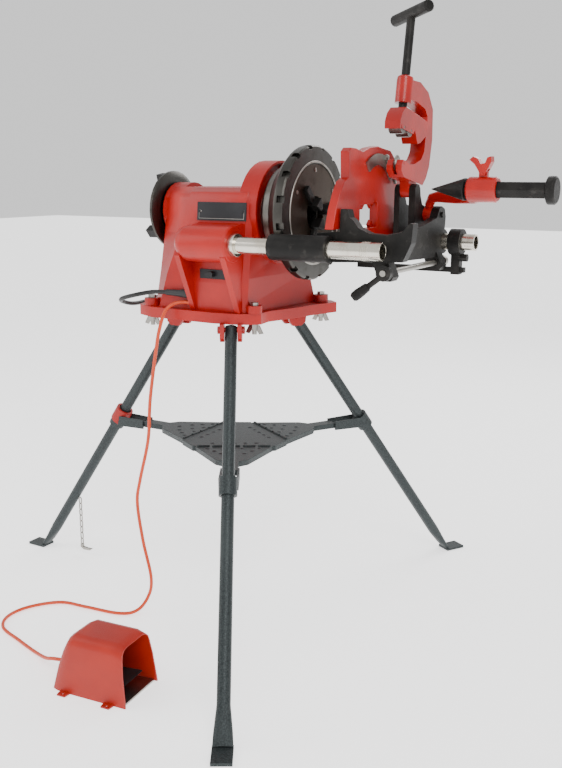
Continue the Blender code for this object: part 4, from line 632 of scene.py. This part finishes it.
# ---------------------------------------------------------------- fine shapes
TRAY_TOP = 0.390
TRAY_HINGE = 0.0825         # from the tripod's middle to each wing hinge
TRAY_TAPER = 0.84           # how fast a wing narrows towards its leg
DIMPLE_ROWS, DIMPLE_PITCH, DIMPLE_MARGIN = 4, 0.0185, 0.019
KNUCKLES, KNUCKLE_PITCH = 5, 0.033
LEG_TURNS = {"rear": 180.0, "near": -59.0, "far": 59.0}
LEG_SLOPE = 0.7053
LEG_FOOT_RADIUS = 0.6092
RAIL_Y, RAIL_Z, RAIL_R = -0.1527, 0.830, 0.0167


def leg_directions(label):
    """Level directions at a leg: out along it, and across it."""
    turn = radians(LEG_TURNS[label])
    return Vector((cos(turn), sin(turn), 0)), Vector((-sin(turn), cos(turn), 0))


def wing_spots(outward, sideways):
    """Places of a wing's dimples, in rows that narrow towards the leg."""
    spots = []
    for row in range(DIMPLE_ROWS):
        reach = TRAY_HINGE + DIMPLE_MARGIN + DIMPLE_PITCH * row
        wide = 0.072 - (reach - TRAY_HINGE) * TRAY_TAPER
        count = max(1, int(wide / 0.0115))
        for k in range(count):
            offset = 0.0 if count == 1 else -wide + 2 * wide * k / (count - 1)
            spots.append(outward * reach + sideways * offset + LAYOUT_SHIFT + Vector((0, 0, TRAY_TOP)))
    return spots


def wing_knuckles(label, outward, sideways):
    """The rolled knuckles along a wing's hinge."""
    knuckles = bmesh.new()
    profile = ((-0.0135, 0.0022), (-0.0128, 0.0030), (0.0128, 0.0030), (0.0135, 0.0022))
    for k in range(KNUCKLES):
        centre = outward * (TRAY_HINGE + 0.0045) + sideways * (-0.066 + KNUCKLE_PITCH * k)
        centre += LAYOUT_SHIFT + Vector((0, 0, TRAY_TOP + 0.0006))
        part = rings_mesh([round_ring(centre + sideways * s, sideways, r, 14) for s, r in profile])
        mesh = bpy.data.meshes.new("part")
        part.to_mesh(mesh)
        part.free()
        knuckles.from_mesh(mesh)
        bpy.data.meshes.remove(mesh)
    add_on(made_mesh("tray_knuckles_" + label, knuckles, "grey"), "tray_wing_" + label)


def tray_details(tree):
    """Pressed dimples and hinge knuckles on the folding tray."""
    dome = [(0.0, 0.0062), (0.0007, 0.0058), (0.0015, 0.0042), (0.0019, 0.0020), (0.0020, 0.0004)]
    dimple = lathe("dimple", (0, 0, -0.0004), (0, 0, 1), dome, "grey", 20)
    middle_spots = []
    for label in LEG_TURNS:
        outward, sideways = leg_directions(label)
        repeated("tray_dimples_" + label, "tray_wing_" + label, tree, dimple, wing_spots(outward, sideways),
                 "grey", 0.15)
        row = LAYOUT_SHIFT + Vector((0, 0, TRAY_TOP))
        middle_spots += [outward * 0.060 + sideways * 0.024 * k + row for k in (-2, -1, 0, 1, 2)]
        wing_knuckles(label, outward, sideways)
    repeated("tray_dimples_middle", "tray_centre", tree, dimple, middle_spots, "grey", 0.15)
    drop(dimple)


def screw_head(name, radius, height):
    """A cheese head with a rounded edge and a socket, standing on z = 0."""
    profile = [(-0.0004, radius), (height * 0.7, radius), (height, radius * 0.82), (height, radius * 0.46),
               (height * 0.45, radius * 0.42), (height * 0.42, radius * 0.02)]
    return lathe(name, (0, 0, 0), (0, 0, 1), profile, "steel", 24)


def face_screws(tree):
    """Six screws round the chuck's face."""
    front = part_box("chuck_face")[1].x
    screw = screw_head("face_screw", 0.0042, 0.0012)
    screw.data.transform(Matrix.Rotation(radians(90), 4, "Y"))
    spots = []
    for k in range(6):
        turn = radians(30 + 60 * k)
        spots.append((front, AXIS_Y + 0.086 * cos(turn), AXIS_Z + 0.086 * sin(turn)))
    repeated("chuck_face_screws", "chuck_face", tree, screw, spots, "steel")
    drop(screw)


def rail_rings():
    """Raised rings near the front rail's free end."""
    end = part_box("front_rail")[1].x
    rise = ((0.0, 0.0001), (0.0006, 0.0009), (0.0016, 0.0009), (0.0022, 0.0001))
    profile = [(0.0034 * k + along, RAIL_R + out) for k in range(5) for along, out in rise]
    inner = [(profile[-1][0], RAIL_R - 0.002), (0.0, RAIL_R - 0.002)]
    rings = lathe("front_rail_rings", (end - 0.040, RAIL_Y, RAIL_Z), (1, 0, 0), profile + inner, "pipe", 48,
                  True)
    add_on(rings, "front_rail")


def wheel_rims():
    """A bead round the chuck's face, on the hammer wheel, in steel painted bright: a painted highlight on
    its rounded edge.
    """
    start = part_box("hammer_wheel")[1].x + 0.0002
    low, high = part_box("chuck_face")
    face = (high.z - low.z) / 2
    section = ((-0.001, 0.0065), (0.0, 0.0060), (0.0008, 0.0052))
    section += ((0.0008, 0.0030), (0.0, 0.0022), (-0.001, 0.0018))
    profile = [(along, face + out) for along, out in section]
    bead = lathe("wheel_face_bead", (start, AXIS_Y, AXIS_Z), (1, 0, 0), profile, "wheel_rim_highlight", 96, True)
    add_on(bead, "hammer_wheel")


def name_plate_frame(tree):
    """A raised bare rim and two pins on the name plate. It carries no lettering."""
    low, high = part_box("name_plate")
    slope = atan2(high.y - low.y - 0.0012, high.z - low.z)
    lift = Vector((0, -cos(slope), sin(slope)))
    centre = (low + high) / 2 + lift * 0.0007
    up = Vector((0, sin(slope), cos(slope)))
    pin = screw_head("plate_pin", 0.0022, 0.0010)
    pin.data.transform(Matrix.Rotation(radians(90) - slope, 4, "X"))
    spots = [centre + Vector((side * 0.051, 0, 0)) for side in (-1, 1)]
    repeated("name_plate_pins", "name_plate", tree, pin, spots, "steel")
    drop(pin)
    half_x, half_z, radius = 0.0545, 0.0145, 0.0005
    loop = [(-half_x, -half_z), (half_x, -half_z), (half_x, half_z), (-half_x, half_z)]
    rings = []
    for a, b in loop:
        out = Vector((1 if a > 0 else -1, 0, 0)) + up * (1 if b > 0 else -1)
        spot = centre + Vector((a, 0, 0)) + up * b
        rings.append([spot + out * radius * cos(t) + lift * radius * sin(t) for t in circle(8)])
    add_on(made_mesh("name_plate_rim", rings_mesh(rings, True), "steel"), "name_plate")


def leg_clamp():
    """The red clamp on the rear leg that the tray hangs from."""
    outward, _ = leg_directions("rear")
    height = 0.396
    centre = outward * (LEG_FOOT_RADIUS - LEG_SLOPE * height) + LAYOUT_SHIFT + Vector((0, 0, height))
    along = (outward * LEG_SLOPE - Vector((0, 0, 1))).normalized()
    half, outer, inner = 0.019, 0.0204, 0.0150
    profile = [(-half, outer - 0.0015), (0.0015 - half, outer), (half - 0.0015, outer)]
    profile += [(half, outer - 0.0015), (half, inner), (-half, inner)]
    add_on(lathe("tray_clamp", centre, along, profile, "clamp", 40, True), "leg_rear")


def finish():
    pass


# each node's finish and the rounding of its edges
PLAIN_FINISH = {
    "stand_plate": ("red", 0.0030), "drive_housing": ("red", 0.0045), "motor": ("black", 0.001),
    "spindle_bearing_front": ("steel", 0.0005), "spindle_bearing_rear": ("steel", 0.0005),
    "name_plate": ("plate", 0.0003), "switch_plate": ("plate", 0.0003),
    "switch_lever": ("black", 0.0006), "power_cord_gland": ("black", 0.0005),
    "front_rail": ("pipe", 0.0006), "rear_rail": ("pipe", 0.0006), "lock_collar": ("casting", 0.0015),
    "rack_bar": ("casting", 0.0005), "hold_down_bolt_near_front": ("steel", 0.0004),
    "hold_down_bolt_far_front": ("steel", 0.0004), "hold_down_bolt_near_rear": ("steel", 0.0004),
    "hold_down_bolt_far_rear": ("steel", 0.0004), "foot_switch_hood": ("shell", 0.0012),
    "foot_switch_base": ("steel", 0.0005), "foot_pedal": ("black", 0.001), "leg_rear": ("grey", 0.0008),
    "leg_near": ("grey", 0.0008), "leg_far": ("grey", 0.0008), "leg_chain": ("steel", 0.0003),
    "tray_centre": ("grey", 0.0008), "tray_wing_rear": ("grey", 0.0008),
    "tray_wing_near": ("grey", 0.0008), "tray_wing_far": ("grey", 0.0008),
    "spindle_tube": ("turned", 0.0006), "drive_gear": ("steel", 0.0), "chuck_body": ("turned", 0.0006),
    "chuck_face": ("browned", 0.0008), "hammer_wheel": ("wheel", 0.0015),
    "chuck_jaw_1": ("jaw", 0.0008), "chuck_jaw_2": ("jaw", 0.0008), "chuck_jaw_3": ("jaw", 0.0008),
    "rear_wheel": ("wheel", 0.001), "rear_jaw_1": ("jaw", 0.001), "rear_jaw_2": ("jaw", 0.001),
    "rear_jaw_3": ("jaw", 0.001), "motor_pinion": ("steel", 0.0), "carriage": ("casting", 0.0014),
    "pinion_shaft": ("steel", 0.0005), "carriage_lever": ("casting", 0.0008),
    "die_head": ("forged_red", 0.0030), "die_lever": ("steel", 0.0006),
    "cutter_frame": ("forged_red", 0.0045), "cutter_wheel": ("steel", 0.0003),
    "cutter_slide": ("forged_red", 0.0020), "cutter_roller_front": ("turned", 0.0006),
    "cutter_roller_back": ("turned", 0.0006), "feed_screw": ("casting", 0.0008),
    "reamer_arm": ("forged_red", 0.0020), "reamer_bar": ("casting", 0.0008),
    "reamer_latch": ("forged_red", 0.0012),
}


def main():
    make_finishes()
    camera()
    studio()
    floor()
    foot_cord()
    power_cord()
    tree = repeat_tree()
    tray_details(tree)
    face_screws(tree)
    rail_rings()
    leg_clamp()
    wheel_rims()
    name_plate_frame(tree)
    for node, (paint, edge) in PLAIN_FINISH.items():
        dress(node, paint, edge)
    finish()


main()
